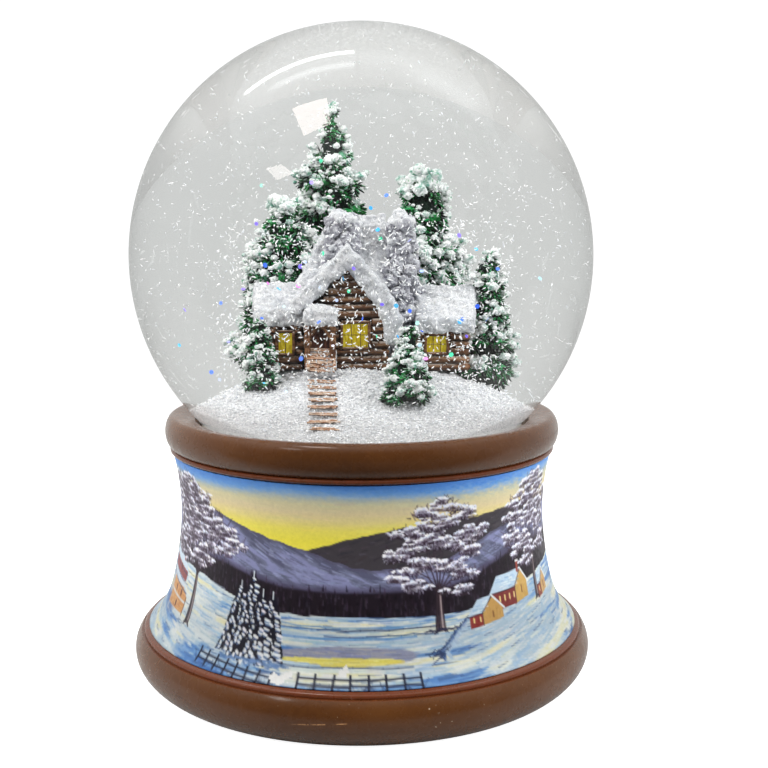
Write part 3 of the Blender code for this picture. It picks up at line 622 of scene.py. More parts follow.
def make_floor():
    """A pale sheet under the object, darker at the sides, with a painted shadow in front, and near white to
    the camera.
    """
    corners = [
        (-FLOOR_HALF_WIDTH, FLOOR_FRONT_Y, 0.0), (FLOOR_HALF_WIDTH, FLOOR_FRONT_Y, 0.0),
        (FLOOR_HALF_WIDTH, FLOOR_RIGHT_BACK_Y, 0.0), (-FLOOR_HALF_WIDTH, FLOOR_LEFT_BACK_Y, 0.0),
    ]
    look = Look("studio_floor", FLOOR_LIGHT, 0.9)
    fabric = look.ramp(look.noise(3.0, 3.0), [(0.3, FLOOR_DARK), (0.7, FLOOR_LIGHT)])
    beside = look.spread(look.math("ABSOLUTE", look.part("X")), 60.0, 320.0)
    sides = look.mix(beside, fabric, FLOOR_SIDES)
    # Painted shadow: the floor turns nearly black towards the front.
    look.set("Base Color", look.mix(look.spread(look.part("Y"), -32.0, -125.0), sides, FLOOR_PAINTED_SHADOW))
    by_camera = look.add("ShaderNodeLightPath").outputs["Is Camera Ray"]
    glow = look.add("ShaderNodeEmission", {"Strength": look.times(by_camera, 0.93)})
    look.put(look.surface, look.both(look.shader, glow))
    mesh_object("studio_floor_sheet", corners, [[(0, 1, 2, 3)]], look.material)


def make_camera():
    data = bpy.data.cameras.new("photo_camera")
    data.sensor_width = 36.0
    data.lens = CAMERA_LENS
    data.clip_start, data.clip_end = 0.01, 20.0
    camera = bpy.data.objects.new("photo_camera", data)
    camera.location = Vector((0.0, -CAMERA_DISTANCE, CAMERA_HEIGHT)) * MM
    camera.rotation_euler = (math.pi / 2 - CAMERA_PITCH, 0.0, -CAMERA_YAW)
    bpy.context.scene.collection.objects.link(camera)
    bpy.context.scene.camera = camera


def make_studio():
    make_world()
    make_floor()
    make_panels()
    area_lamp("key_lamp", (-740.0, -330.0, 620.0), (0.0, 0.0, 90.0), 0.4, 7.0, (1.0, 0.99, 0.97))
    area_lamp("fill_lamp", (720.0, -310.0, 420.0), (0.0, 0.0, 80.0), 0.6, 6.8, WHITE)
    scene = bpy.context.scene
    scene.view_settings.view_transform = "Standard"
    scene.view_settings.look = "None"


# ---------------------------------------------------------------- painted band


DEGREE_MM = 0.87  # how wide a degree of the picture is at the waist
NOISE_REACH = 84.0  # the height in millimetres that the picture's noise covers


class Canvas:
    """The picture that wraps the pedestal, as display colours from 0 to 255.

    Columns run once round from the back and rows from the top. Places on it are an angle from
    the front in degrees, to the right, and a height in millimetres.
    """

    def __init__(self, seed):
        self.dice = np.random.default_rng(seed)
        self.angles = (np.arange(BAND_COLUMNS) / BAND_COLUMNS - 0.5) * 360.0
        self.heights = np.linspace(BAND_TOP_Z, BAND_BOTTOM_Z, BAND_ROWS + 1)
        self.phi, self.z = np.meshgrid(self.angles, self.heights)
        self.picture = np.zeros(self.phi.shape + (3,))

    def noise(self, wide, tall, seed, octaves=4, share=0.55, slant=0.0, level=None):
        """Noise from 0 to 1 with features of a width in degrees and a height in millimetres."""
        total, weight, gain = np.zeros(self.phi.shape), 0.0, 1.0
        source = np.random.default_rng(seed)
        height = (self.z if level is None else level) - BAND_BOTTOM_Z + 16.0
        for _ in range(octaves):
            columns, rows = max(3, int(round(360.0 / wide))), int(NOISE_REACH / tall) + 4
            lattice = source.random((rows, columns))
            u = (self.phi + 180.0 + slant * (self.z - 30.0)) / 360.0 * columns
            v = height / tall
            u0, v0 = np.floor(u).astype(int), np.clip(np.floor(v).astype(int), 0, rows - 2)
            fu, fv = u - u0, np.clip(v - v0, 0.0, 1.0)
            fu, fv = fu * fu * (3 - 2 * fu), fv * fv * (3 - 2 * fv)
            a, b = lattice[v0, u0 % columns], lattice[v0, (u0 + 1) % columns]
            c, d = lattice[v0 + 1, u0 % columns], lattice[v0 + 1, (u0 + 1) % columns]
            total += gain * ((a * (1 - fu) + b * fu) * (1 - fv) + (c * (1 - fu) + d * fu) * fv)
            weight += gain
            gain *= share
            wide, tall = wide / 2, tall / 2
        return total / weight

    def over(self, mask, colour):
        mask = np.clip(mask, 0.0, 1.0)[..., None]
        self.picture[:] = self.picture * (1 - mask) + np.asarray(colour, float) * mask

    def turn(self, x):
        """Signed angle from x to each column."""
        return (self.phi - x + 180.0) % 360.0 - 180.0

    def ellipse(self, x, height, wide, tall):
        """Under 1 inside an ellipse of half sizes in degrees and millimetres."""
        return np.hypot(self.turn(x) / wide, (self.z - height) / tall)

    def dab(self, x0, z0, x1, z1, width, colour, strength=1.0, taper=0.0):
        """One straight touch of the brush."""
        pad = width / 2 + 0.4
        step_x, step_z = 360.0 / BAND_COLUMNS, (BAND_TOP_Z - BAND_BOTTOM_Z) / BAND_ROWS
        first = int(math.floor((min(x0, x1) - pad / DEGREE_MM + 180.0) / step_x))
        last = int(math.ceil((max(x0, x1) + pad / DEGREE_MM + 180.0) / step_x)) + 1
        top = max(0, int((BAND_TOP_Z - max(z0, z1) - pad) / step_z))
        bottom = min(BAND_ROWS + 1, int((BAND_TOP_Z - min(z0, z1) + pad) / step_z) + 2)
        if top >= bottom:
            return
        columns = np.arange(first, last)
        px = ((columns * step_x - 180.0) - x0) * DEGREE_MM
        pz = self.heights[top:bottom, None] - z0
        bx, bz = (x1 - x0) * DEGREE_MM, z1 - z0
        along = np.clip((px * bx + pz * bz) / max(bx * bx + bz * bz, 1e-9), 0.0, 1.0)
        away = np.hypot(px - along * bx, pz - along * bz)
        mask = np.clip((width / 2 * (1 - taper * along) + 0.14 - away) / 0.26, 0.0, 1.0) * strength
        columns = columns % BAND_COLUMNS
        block = self.picture[top:bottom, columns]
        self.picture[top:bottom, columns] = block + (np.asarray(colour, float) - block) * mask[..., None]

    def polygon(self, corners, colour, soft=0.14, strength=1.0):
        """Fills a convex outline."""
        px = self.turn(corners[0][0]) * DEGREE_MM
        xs = [(c[0] - corners[0][0]) * DEGREE_MM for c in corners]
        zs = [c[1] for c in corners]
        area = sum(xs[i - 1] * zs[i] - xs[i] * zs[i - 1] for i in range(len(xs)))
        inside = np.full(self.phi.shape, 1e9)
        for i in range(len(xs)):
            ex, ez = xs[i] - xs[i - 1], zs[i] - zs[i - 1]
            gap = (ex * (self.z - zs[i - 1]) - ez * (px - xs[i - 1])) / math.hypot(ex, ez)
            inside = np.minimum(inside, gap * (1 if area > 0 else -1))
        self.over(smooth_step(inside, -soft, soft) * strength, colour)

    def shade(self, colour, spread=7.0):
        """The colour made a little lighter or darker at random."""
        lighter = np.asarray(colour, float) + self.dice.normal() * spread
        return np.clip(lighter + self.dice.normal(size=3) * 2.0, 0, 255)

    def pick(self, tones):
        return tones[self.dice.integers(len(tones))]

    def cell(self, x, z):
        """The row and column of a place."""
        row = int(np.clip((BAND_TOP_Z - z) / (BAND_TOP_Z - BAND_BOTTOM_Z) * BAND_ROWS, 0, BAND_ROWS))
        return row, int((x + 180.0) / 360.0 * BAND_COLUMNS) % BAND_COLUMNS

    def stroke(self, x, z, long, rise, width, tone, spread, strength=1.0, taper=0.0):
        """A touch of the brush in a varied tone, given by how far it goes across and up."""
        self.dab(x, z, x + long, z + rise, width, self.shade(tone, spread), strength, taper)


def smooth_step(value, low, high):
    t = np.clip((value - low) / (high - low), 0.0, 1.0)
    return t * t * (3 - 2 * t)


def round_trip(points, at):
    """Straight lines between (angle, value) places, the same after a full turn."""
    xs, values = zip(*points)
    return np.interp(at, xs, values, period=360.0)


# Outlines of the landscape all the way round, as (angle, height) places.
FAR_RIDGE = [
    (-180, 47), (-120, 44), (-60, 42), (-22, 42.6), (-15, 43.6), (-6, 46.0), (2, 47.6), (10, 48.9),
    (22, 49.6), (34, 50.0), (44, 50.8), (54, 51.4), (70, 49.5), (110, 46), (145, 48.5),
]
NEAR_SLOPE = [
    (-180, 45), (-140, 48.5), (-100, 52.5), (-75, 53.6), (-58, 52.0), (-45, 49.6), (-37, 47.8),
    (-28, 45.8), (-22, 44.7), (-15, 43.3), (-9, 41.4), (-3, 39.9), (3, 39.2), (16, 39.4),
    (24, 40.6), (32, 43.0), (40, 45.4), (50, 47.0), (66, 48.4), (90, 46), (120, 43.5), (150, 43),
]
FOREST_TOP = [
    (-180, 35), (-120, 37), (-80, 38), (-56, 38.4), (-44, 38.0), (-36, 36.8), (-30, 35.6), (-22, 34.6),
    (-8, 34.2), (10, 34.2), (24, 34.4), (33, 35.4), (38, 37.4), (50, 40.0), (70, 40), (100, 37), (140, 34.5),
]
SNOW_TOP = [
    (-180, 31), (-120, 33), (-80, 34), (-60, 34.0), (-50, 32.6), (-43, 31.2), (-34, 29.8), (-24, 28.5),
    (-6, 28.6), (8, 28.4), (20, 27.8), (28, 28.0), (35, 28.6), (44, 29.4), (58, 31.2), (76, 33.0),
    (110, 31.5), (150, 30),
]
GROUND_RISE = [
    (-180, 0), (-100, 7), (-66, 4.2), (-44, 2.0), (-26, 0.2), (14, 0.0), (26, 0.4), (36, 1.6),
    (48, 3.6), (66, 5.6), (100, 5), (150, 1),
]
SKY = [
    (46.0, (226, 214, 76)), (48.6, (226, 214, 98)), (50.4, (221, 206, 132)), (52.4, (214, 198, 156)),
    (54.6, (204, 197, 160)), (55.9, (178, 184, 174)), (57.2, (134, 168, 204)), (58.3, (98, 149, 212)),
    (59.5, (78, 132, 208)),
]

# Crowns of the picture's trees, as (angle, height, half width, half height) clumps.
LEFT_CROWN = [
    (-62, 54.6, 6.5, 2.6), (-70, 52.0, 8.0, 4.6), (-54.5, 52.0, 5.5, 2.4), (-62, 50.0, 9.0, 3.4),
    (-49.5, 48.0, 6.2, 2.6), (-66, 45.0, 9.0, 4.0), (-54, 45.2, 7.0, 2.8), (-43.5, 45.0, 5.2, 2.2),
    (-58, 40.4, 8.0, 3.0), (-46.5, 41.2, 6.0, 2.4), (-70, 39.0, 7.0, 4.0), (-38.6, 42.2, 3.2, 1.6),
    (-54, 36.6, 5.6, 1.9), (-64, 35.6, 4.4, 1.6),
]
MIDDLE_CROWN = [
    (22.5, 54.2, 3.6, 1.4), (17, 51.6, 4.6, 1.7), (27.5, 51.4, 5.0, 1.8), (22, 49.2, 6.4, 1.8),
    (12.6, 47.4, 4.6, 1.6), (32.5, 46.6, 5.0, 1.7), (18, 45.4, 6.0, 1.7), (26.5, 44.4, 6.0, 1.7),
    (10.4, 42.6, 4.6, 1.5), (31.5, 41.6, 4.4, 1.5), (16, 40.4, 5.2, 1.5), (24.5, 39.0, 5.0, 1.4),
    (11.2, 37.8, 4.4, 1.3), (29.8, 36.6, 4.2, 1.3), (14.4, 35.2, 4.4, 1.2), (27.0, 33.4, 4.6, 1.0),
]
RIGHT_CROWN = [
    (60, 57.0, 4.6, 1.5), (56, 54.6, 5.0, 1.8), (65, 54.4, 6.0, 2.2), (52.0, 51.2, 5.0, 1.9),
    (61, 50.4, 7.0, 2.2), (71, 49.4, 7.0, 2.8), (50.0, 47.0, 5.0, 1.9), (59, 45.8, 6.4, 2.0),
    (49.0, 42.8, 4.6, 1.6), (67, 44.0, 7.0, 2.4), (56, 41.4, 5.6, 1.7), (50.4, 38.8, 4.0, 1.3),
    (62, 38.2, 5.4, 1.6), (70, 38.4, 5.0, 2.0), (56.4, 35.4, 4.0, 1.2),
]
REAR_CROWN = [
    (0, 53, 5, 2.2), (-7, 49.6, 6, 2.2), (7, 49, 6, 2.2), (0, 46, 8, 2.2), (-9, 43, 6, 2.0),
    (9, 42.4, 6, 2.0), (-2, 39.6, 7, 1.8), (6, 37.2, 5, 1.5),
]


def lift_between(x, long):
    """How far the ground rises from an angle to one further right."""
    return float(round_trip(GROUND_RISE, x + long) - round_trip(GROUND_RISE, x))


def paint_sky(canvas):
    """A yellow dusk that turns blue towards the top, brushed over with level strokes."""
    dice = canvas.dice
    hatch = (canvas.noise(1.3, 0.45, 21, 3, slant=0.9) - 0.5) * 3.0
    upper = smooth_step(canvas.z, 52.5, 55.5) * (1 - smooth_step(canvas.z, 58.4, 59.4))
    across = canvas.turn(10)
    right = 0.35 + 0.65 * smooth_step(across, 0, 20) * (1 - smooth_step(across, 40, 60))
    high = canvas.z + hatch * upper * right + (canvas.noise(40, 5, 22, 2) - 0.5) * 2.2
    levels, colours = zip(*SKY)
    for channel in range(3):
        canvas.picture[..., channel] = np.interp(high, levels, [colour[channel] for colour in colours])
    for _ in range(500):
        x, z = dice.uniform(-180, 180), dice.uniform(47, 59)
        own = canvas.picture[canvas.cell(x, z)]
        canvas.stroke(x, z, dice.uniform(2, 7), dice.normal() * 0.25, dice.uniform(0.25, 0.6), own, 5, 0.5)


def paint_hills(canvas):
    """A dark far ridge behind a blue-grey slope, both with strokes that run down their sides."""
    dice = canvas.dice
    ridge = round_trip(FAR_RIDGE, canvas.phi) + (canvas.noise(3.0, 30.0, 31, 3) - 0.5) * 0.7
    canvas.over(smooth_step(ridge - canvas.z, -0.12, 0.16), (62, 58, 63))
    tones = ((56, 51, 57), (70, 65, 71), (80, 75, 82), (48, 44, 52))
    for _ in range(1300):
        x = dice.uniform(-180, 180)
        z = float(round_trip(FAR_RIDGE, x)) - 0.5 - dice.random() ** 1.3 * 9.0
        tone = canvas.pick(tones)
        lean = 0.32 if (x % 360) < 60 or (x % 360) > 330 else -0.3
        long = dice.uniform(1.2, 3.4)
        rise = lean * long * dice.uniform(0.2, 1.3)
        canvas.stroke(x, z, long, rise, dice.uniform(0.25, 0.6), tone, 4, 0.6, 0.5)
    slope = round_trip(NEAR_SLOPE, canvas.phi) + (canvas.noise(3.0, 30.0, 33, 3) - 0.5) * 0.6
    body = smooth_step(slope - canvas.z, -0.12, 0.2)
    canvas.over(body, (106, 110, 136))
    streak = canvas.noise(14.0, 1.7, 34, 4, slant=-1.6, level=canvas.z + 0.42 * canvas.turn(-20))
    canvas.over(body * smooth_step(streak, 0.5, 0.62) * 0.7, (140, 143, 186))
    canvas.over(body * (1 - smooth_step(streak, 0.36, 0.48)) * 0.7, (76, 76, 100))
    tones = (
        (142, 149, 186), (124, 130, 162), (94, 97, 118), (72, 74, 94), (160, 167, 198), (108, 113, 140),
    )
    for _ in range(2600):
        x = dice.uniform(-180, 180)
        z = float(round_trip(NEAR_SLOPE, x)) - 0.3 - dice.random() * 12.5
        tone = canvas.pick(tones)
        lean = -0.42 if -100 < x < 8 else 0.36
        flatten = min(1.0, max(0.15, (z - 34.5) / 8.0))
        long = dice.uniform(1.0, 3.6)
        canvas.stroke(x, z, long, lean * flatten * long, dice.uniform(0.18, 0.42), tone, 5, 0.55, 0.6)
    edge = smooth_step(slope - canvas.z, -0.05, 0.05) * (1 - smooth_step(slope - canvas.z, 0.35, 0.9))
    canvas.over(edge * 0.55, (80, 76, 98))


def paint_forest(canvas):
    """A dark wood with upright strokes that break its top line."""
    dice = canvas.dice
    top = round_trip(FOREST_TOP, canvas.phi)
    canvas.over(smooth_step(top + 1.3 - canvas.z, -0.8, 1.5) * 0.8, (72, 66, 90))
    canvas.over(smooth_step(top - canvas.z, -0.3, 0.7), (30, 22, 31))
    tones = ((26, 18, 27), (40, 31, 42), (52, 42, 56), (18, 12, 20), (64, 54, 70))
    for _ in range(2600):
        x = dice.uniform(-180, 180)
        z = float(round_trip(FOREST_TOP, x)) + dice.random() ** 2 * 2.0 - dice.uniform(0.0, 6.0)
        tone = canvas.pick(tones)
        foot, tip_x = z - dice.uniform(0.6, 2.2), x + dice.normal() * 0.12
        canvas.dab(x, foot, tip_x, z, dice.uniform(0.25, 0.6), canvas.shade(tone, 3), 0.75, 0.8)


def paint_ground(canvas):
    """Snow fields in blue, white and yellow, with thin furrows and the far shore of the pond."""
    dice = canvas.dice
    snow_line = round_trip(SNOW_TOP, canvas.phi) + (canvas.noise(4, 30, 38, 2) - 0.5) * 0.7
    level = canvas.z - round_trip(GROUND_RISE, canvas.phi)
    ground = smooth_step(snow_line - canvas.z, -0.1, 0.2)
    canvas.over(ground, (176, 198, 214))
    one = canvas.noise(34.0, 2.4, 41, 4, level=level)
    two = canvas.noise(24.0, 1.9, 42, 4, level=level)
    canvas.over(ground * smooth_step(one, 0.5, 0.58), (112, 158, 210))
    canvas.over(ground * smooth_step(one, 0.58, 0.66) * 0.8, (82, 130, 194))
    canvas.over(ground * smooth_step(two, 0.53, 0.61) * 0.9, (216, 224, 220))
    canvas.over(ground * smooth_step(two, 0.60, 0.68) * 0.8, (228, 224, 178))
    uneven = (canvas.noise(7.0, 1.6, 44, 3, level=level) - 0.5) * 1.6
    near_left = canvas.ellipse(-57.0, 23.5, 17.0, 7.0) + uneven
    canvas.over(ground * (1 - smooth_step(near_left, 0.7, 1.1)) * 0.9, (222, 230, 230))
    warm_tones = ((236, 238, 232), (238, 233, 190), (226, 232, 234))
    cool_tones = ((94, 142, 204), (70, 116, 184), (136, 178, 220), (58, 92, 150))
    plain_tones = ((206, 218, 224), (176, 200, 220), (226, 230, 224), (150, 186, 220))
    for _ in range(4200):
        x = dice.uniform(-180, 180)
        z = dice.uniform(BAND_BOTTOM_Z - 0.5, float(round_trip(SNOW_TOP, x)))
        cell = canvas.cell(x, z)
        cool = one[cell] - 0.5 - 0.35 * float(near_left[cell] < 0.95)
        warm = two[cell] - 0.5
        bar = dice.random()
        if warm > 0.04 + 0.1 * bar:
            tone = canvas.pick(warm_tones)
        elif cool > 0.02 + 0.08 * bar:
            tone = canvas.pick(cool_tones)
        else:
            tone = canvas.pick(plain_tones)
        long = dice.uniform(1.5, 6.5)
        end_z = z + lift_between(x, long) + dice.normal() * 0.12
        canvas.dab(x, z, x + long, end_z, dice.uniform(0.2, 0.62), canvas.shade(tone, 5), 0.6, 0.45)
    for _ in range(300):
        x = dice.uniform(-180, 180)
        z = dice.uniform(BAND_BOTTOM_Z, float(round_trip(SNOW_TOP, x)) - 0.8)
        long = dice.uniform(2.0, 7.0)
        rise = lift_between(x, long)
        canvas.stroke(x, z, long, rise, dice.uniform(0.12, 0.26), (52, 74, 118), 8, 0.62, 0.7)
    canvas.over(ground * (1 - smooth_step(snow_line - canvas.z, 0.15, 0.9)) * 0.8, (208, 220, 222))
    for height, left, right, thick, colour in (
        (27.2, -23, 12, 0.5, (214, 224, 226)), (26.4, -22, 26, 0.34, (120, 164, 208)),
        (25.7, -12, 22, 0.3, (44, 58, 92)), (25.9, -23, -6, 0.3, (72, 108, 160)),
        (25.0, -24, 22, 0.55, (206, 216, 208)), (24.3, -10, 20, 0.26, (58, 88, 136)),
        (23.7, -22, 14, 0.5, (104, 152, 204)), (22.9, -24, 18, 0.4, (176, 202, 216)),
    ):
        count = 9
        wave = [height + dice.normal() * 0.16 for _ in range(count + 1)]
        for i in range(count):
            a, b = left + (right - left) * i / count, left + (right - left) * (i + 1) / count
            canvas.dab(a, wave[i], b, wave[i + 1], thick, canvas.shade(colour, 5), 0.8)


def paint_pond(canvas):
    """A grey frozen pond with the yellow sky in it and a snowy near bank."""
    dice = canvas.dice
    pond = canvas.ellipse(-4.0, 20.1, 18.5, 2.1) + (canvas.noise(6, 3, 47, 3) - 0.5) * 0.3
    canvas.over(1 - smooth_step(pond, 0.93, 1.03), (150, 154, 176))
    tones = ((134, 146, 186), (164, 164, 178), (122, 128, 158), (172, 170, 172))
    for _ in range(170):
        x, z = dice.uniform(-22, 12), dice.uniform(18.6, 22.0)
        if math.hypot((x + 4) / 18.0, (z - 20.1) / 2.0) > 0.95:
            continue
        tone = canvas.pick(tones)
        canvas.stroke(x, z, dice.uniform(2, 5), 0.0, dice.uniform(0.2, 0.4), tone, 4, 0.6, 0.5)
    tones = ((232, 220, 110), (226, 212, 96), (238, 230, 142))
    for _ in range(120):
        x = dice.uniform(-20.5, 6.5)
        reach = 1 - ((x + 6) / 16.0) ** 2
        z = 19.0 + dice.uniform(-0.8, 0.75) * max(0.25, reach)
        tone = canvas.pick(tones)
        canvas.stroke(x, z, dice.uniform(2.0, 4.5), 0.0, dice.uniform(0.3, 0.5), tone, 4, 0.85, 0.4)
    for i in range(9):
        x = -21 + i * 3.7
        dip, next_dip = 0.15 * math.sin(i), 0.15 * math.sin(i + 1)
        canvas.dab(x, 17.8 - dip, x + 3.8, 17.8 - next_dip, 0.28, (82, 98, 124), 0.8)
        canvas.dab(x, 17.2 - dip, x + 3.8, 17.2 - next_dip, 0.7, canvas.shade((214, 224, 220), 5), 0.75)


def paint_path(canvas):
    """A trodden path that winds down from the houses to the pond."""
    dice = canvas.dice
    places = [(31.5, 27.2), (28.6, 25.9), (25.6, 24.0), (23.0, 21.8), (20.6, 20.2), (21.6, 18.9)]
    for (x0, z0), (x1, z1) in zip(places, places[1:]):
        for i in range(7):
            u, v = x0 + (x1 - x0) * i / 7, z0 + (z1 - z0) * i / 7
            near = 0.35 + 0.35 * (27.2 - v) / 8
            canvas.dab(u + 0.8, v, u + 1.3, v - 0.5, near, canvas.shade((176, 198, 222), 8), 0.75)
            start = u + dice.normal() * 0.4
            canvas.dab(start, v, u - 0.5, v - 0.8, near, canvas.shade((70, 98, 148), 14), 0.8, 0.3)
            start = u - 0.5 + dice.normal() * 0.3
            canvas.dab(start, v + 0.1, u - 0.9, v - 0.5, 0.24, canvas.shade((40, 56, 92), 8), 0.65, 0.5)
    for _ in range(26):
        x, z = 19.8 + dice.normal() * 1.3, 19.8 + dice.normal() * 0.5
        canvas.stroke(x, z, dice.normal(), dice.normal() * 0.5, 0.24, (42, 58, 96), 8, 0.8)


def paint_building(canvas, x, base, wide, tall, ridge, gable_wide, wall, gable):
    """A small farm building: a long side with lit windows, a gable end on the right, a snowy roof."""
    dice = canvas.dice
    top, corner, right = base + tall, x + wide, x + wide + gable_wide
    middle, slant = x + wide + gable_wide * 0.5, gable_wide * 0.4
    canvas.polygon([(x, base), (corner, base + 0.3), (corner, top), (x, top - 0.3)], wall)
    for _ in range(int(8 * wide)):
        u, v = x + dice.uniform(0, wide), base + dice.uniform(0.2, tall - 0.3)
        canvas.stroke(u, v, 0.6, 0.0, 0.2, wall, 16, 0.6)
    end = [(corner, base + 0.3), (right, base + 0.9), (right, top), (middle, top + ridge), (corner, top)]
    canvas.polygon(end, gable)
    for _ in range(int(9 * gable_wide)):
        u, v = corner + dice.uniform(0.3, gable_wide - 0.3), base + dice.uniform(0.8, tall)
        canvas.stroke(u, v, 0.1, 0.7, 0.2, gable, 14, 0.5)
    roof = [
        (x - 0.7, top - 0.5), (corner + 0.2, top - 0.2),
        (middle, top + ridge + 0.5), (x + slant, top + ridge + 0.1),
    ]
    canvas.polygon(roof, (190, 212, 230))
    for i in range(int(3 * wide)):
        u = x + dice.uniform(0.2, wide)
        lift = dice.uniform(0.1, 0.9)
        start, high = u + slant * lift, (ridge + 0.2) * lift
        tone = canvas.shade(((226, 234, 238), (150, 184, 216))[i % 2], 5)
        canvas.dab(start, top - 0.3 + high, start + 1.4, top - 0.25 + high, 0.28, tone, 0.7)
    canvas.dab(middle, top + ridge + 0.35, right + 0.7, top - 0.3, 0.5, (228, 234, 236))
    canvas.dab(middle, top + ridge, corner, top - 0.1, 0.22, (66, 42, 44), 0.8)
    canvas.dab(x - 0.6, top - 0.6, corner + 0.1, top - 0.35, 0.22, (48, 38, 56), 0.9)
    canvas.dab(corner, base + 0.3, corner, top - 0.3, 0.16, (60, 34, 34), 0.8)
    count = max(1, int(wide / 2.0))
    for i in range(count):
        u = x + wide * (i + 0.6) / count
        canvas.dab(u, base + tall * 0.42, u, base + tall * 0.66, 0.42, (250, 226, 150))
    canvas.dab(middle, base + tall * 0.5, middle, base + tall * 0.85, 0.4, (120, 74, 44), 0.9)


def paint_bare_trunk(canvas, x, foot, fork, lean, width):
    """A trunk lit on its right, with bare limbs above and roots below."""
    bark = ((44, 34, 42), (60, 46, 54), (38, 28, 36), (96, 80, 86), (178, 160, 160), (54, 42, 50))
    for i, tone in enumerate(bark):
        off = (i / 5 - 0.5) * width * 0.9
        thick, top_x = max(0.22, width / 4), x + lean * 0.4 + off * 0.7
        canvas.dab(x + off * 1.5, foot - 0.3 * abs(off), top_x, fork, thick, tone, 0.95, 0.3)
    limbs = (
        (-6.4, 4.0), (-4.2, 6.4), (-1.4, 8.4), (1.6, 8.0), (4.4, 6.0), (6.6, 3.6), (-7.6, 2.0), (7.6, 1.8),
    )
    for reach, rise in limbs:
        mid = (x + lean * 0.5 + reach * 0.45, fork + rise * 0.55)
        canvas.dab(x + lean * 0.4, fork - 1.5, *mid, 0.42, (48, 36, 45), 0.95, 0.3)
        canvas.dab(*mid, mid[0] + reach * 0.55, mid[1] + rise * 0.45, 0.28, (54, 42, 52), 0.9, 0.5)
        canvas.dab(*mid, mid[0] + reach * 0.2, mid[1] + rise * 0.7, 0.2, (64, 52, 62), 0.85, 0.5)
    for side in (-1, 1):
        for _ in range(3):
            tip = (x + side * canvas.dice.uniform(1.0, 2.2), foot - canvas.dice.uniform(0.1, 0.7))
            canvas.dab(x + side * 0.3, foot + 0.4, *tip, 0.3, (40, 34, 50), 0.9, 0.7)


def paint_crown(canvas, blobs):
    """Snow-laden branches, painted from the bottom up in clumps that are white above and dark below."""
    dice = canvas.dice
    twigs, clumps = [], []
    for x, z, wide, tall in blobs:
        for _ in range(int(6.0 * wide * tall)):
            angle, reach = dice.uniform(0, math.tau), math.sqrt(dice.random()) * 0.92
            twigs.append((x + wide * reach * math.cos(angle), z + tall * reach * math.sin(angle)))
        for _ in range(int(1.9 * wide * tall)):
            angle, reach = dice.uniform(0, math.tau), math.sqrt(dice.random()) * 0.98
            clumps.append((z + tall * reach * math.sin(angle), x + wide * reach * math.cos(angle)))
    middle = sum(b[0] for b in blobs) / len(blobs)
    twig_tones = ((48, 34, 46), (62, 46, 60), (38, 26, 36), (84, 68, 86))
    for x, z in twigs:
        tone = canvas.pick(twig_tones)
        tip = (x + (x - middle) * 0.06 + dice.normal() * 0.8, z + abs(dice.normal()) * 0.9)
        canvas.dab(x, z, *tip, dice.uniform(0.16, 0.34), tone, 0.7, 0.5)
    snow_tones = ((243, 241, 246), (230, 229, 240), (212, 218, 236))
    for z, x in sorted(clumps):
        size = dice.uniform(0.9, 1.6)
        under, half = z - 0.5 * size, size * 0.8
        canvas.dab(x - half, under, x + half, under, 0.45 * size, canvas.shade((46, 34, 46), 6), 0.6)
        for _ in range(4):
            u, v = dice.uniform(-1, 1) * size, -0.12 + dice.normal() * 0.12 * size
            tip = (x + u * 1.35, z + v - 0.45 * size)
            canvas.dab(x + u, z + v, *tip, 0.26, canvas.shade((172, 168, 190), 10), 0.8, 0.5)
        for _ in range(10):
            u = dice.uniform(-1.05, 1.05) * size
            v = 0.34 * size * (1.0 - 0.6 * abs(u) / size) + dice.normal() * 0.1 * size
            tone = canvas.pick(snow_tones)
            tip = (x + u * 1.5, z + v - dice.uniform(0.0, 0.3) * size)
            canvas.dab(x + u, z + v, *tip, dice.uniform(0.34, 0.54), canvas.shade(tone, 5), 0.95, 0.4)
        if dice.random() < 0.4:
            foot = x + dice.normal() * 0.4
            canvas.dab(foot, z - 0.8, x + dice.normal() * 1.1, z + 0.3, 0.13, (40, 28, 38), 0.7)


def paint_fir(canvas, x, foot, tip, half):
    """A fir of dark strokes, then rows of snow patches with a blue shade under each."""
    dice = canvas.dice
    tall = tip - foot
    for _ in range(int(34 * tall)):
        share = dice.random() ** 0.7
        z = foot + tall * (1 - share)
        u = x + dice.uniform(-1, 1) * half * share ** 0.72
        canvas.dab(u, z, u + np.sign(u - x) * 0.5, z - 0.5, 0.55, canvas.shade((22, 20, 34), 3), 0.95, 0.5)
    rows = int(tall / 0.98)
    for row in range(rows):
        share = 1 - row / rows
        z = foot + tall * (1 - share)
        reach = half * share ** 0.72
        count = max(1, int(round(reach * 1.05)))
        for i in range(count):
            spot = (i + dice.uniform(0.25, 0.75)) / count * 2 - 1
            if dice.random() < 0.08:
                continue
            u, v = x + spot * reach, z + dice.normal() * 0.2
            size = dice.uniform(0.75, 1.15) * (0.75 + 0.35 * share)
            slide = spot * 0.9 + dice.normal() * 0.25
            blue = canvas.shade((104, 132, 178), 9)
            canvas.dab(u - 0.2, v - 0.42, u + slide * 0.9, v - 0.6 * size, 0.58 * size, blue, 0.85, 0.2)
            white, tip_x = canvas.shade((238, 241, 244), 5), u + 0.35 + slide * 0.7
            canvas.dab(u - 0.3, v + 0.1, tip_x, v - 0.22 * size, 0.72 * size, white, 0.97, 0.15)
    canvas.dab(x, tip + 0.5, x, tip - 1.2, 0.3, (220, 228, 236), 0.95)


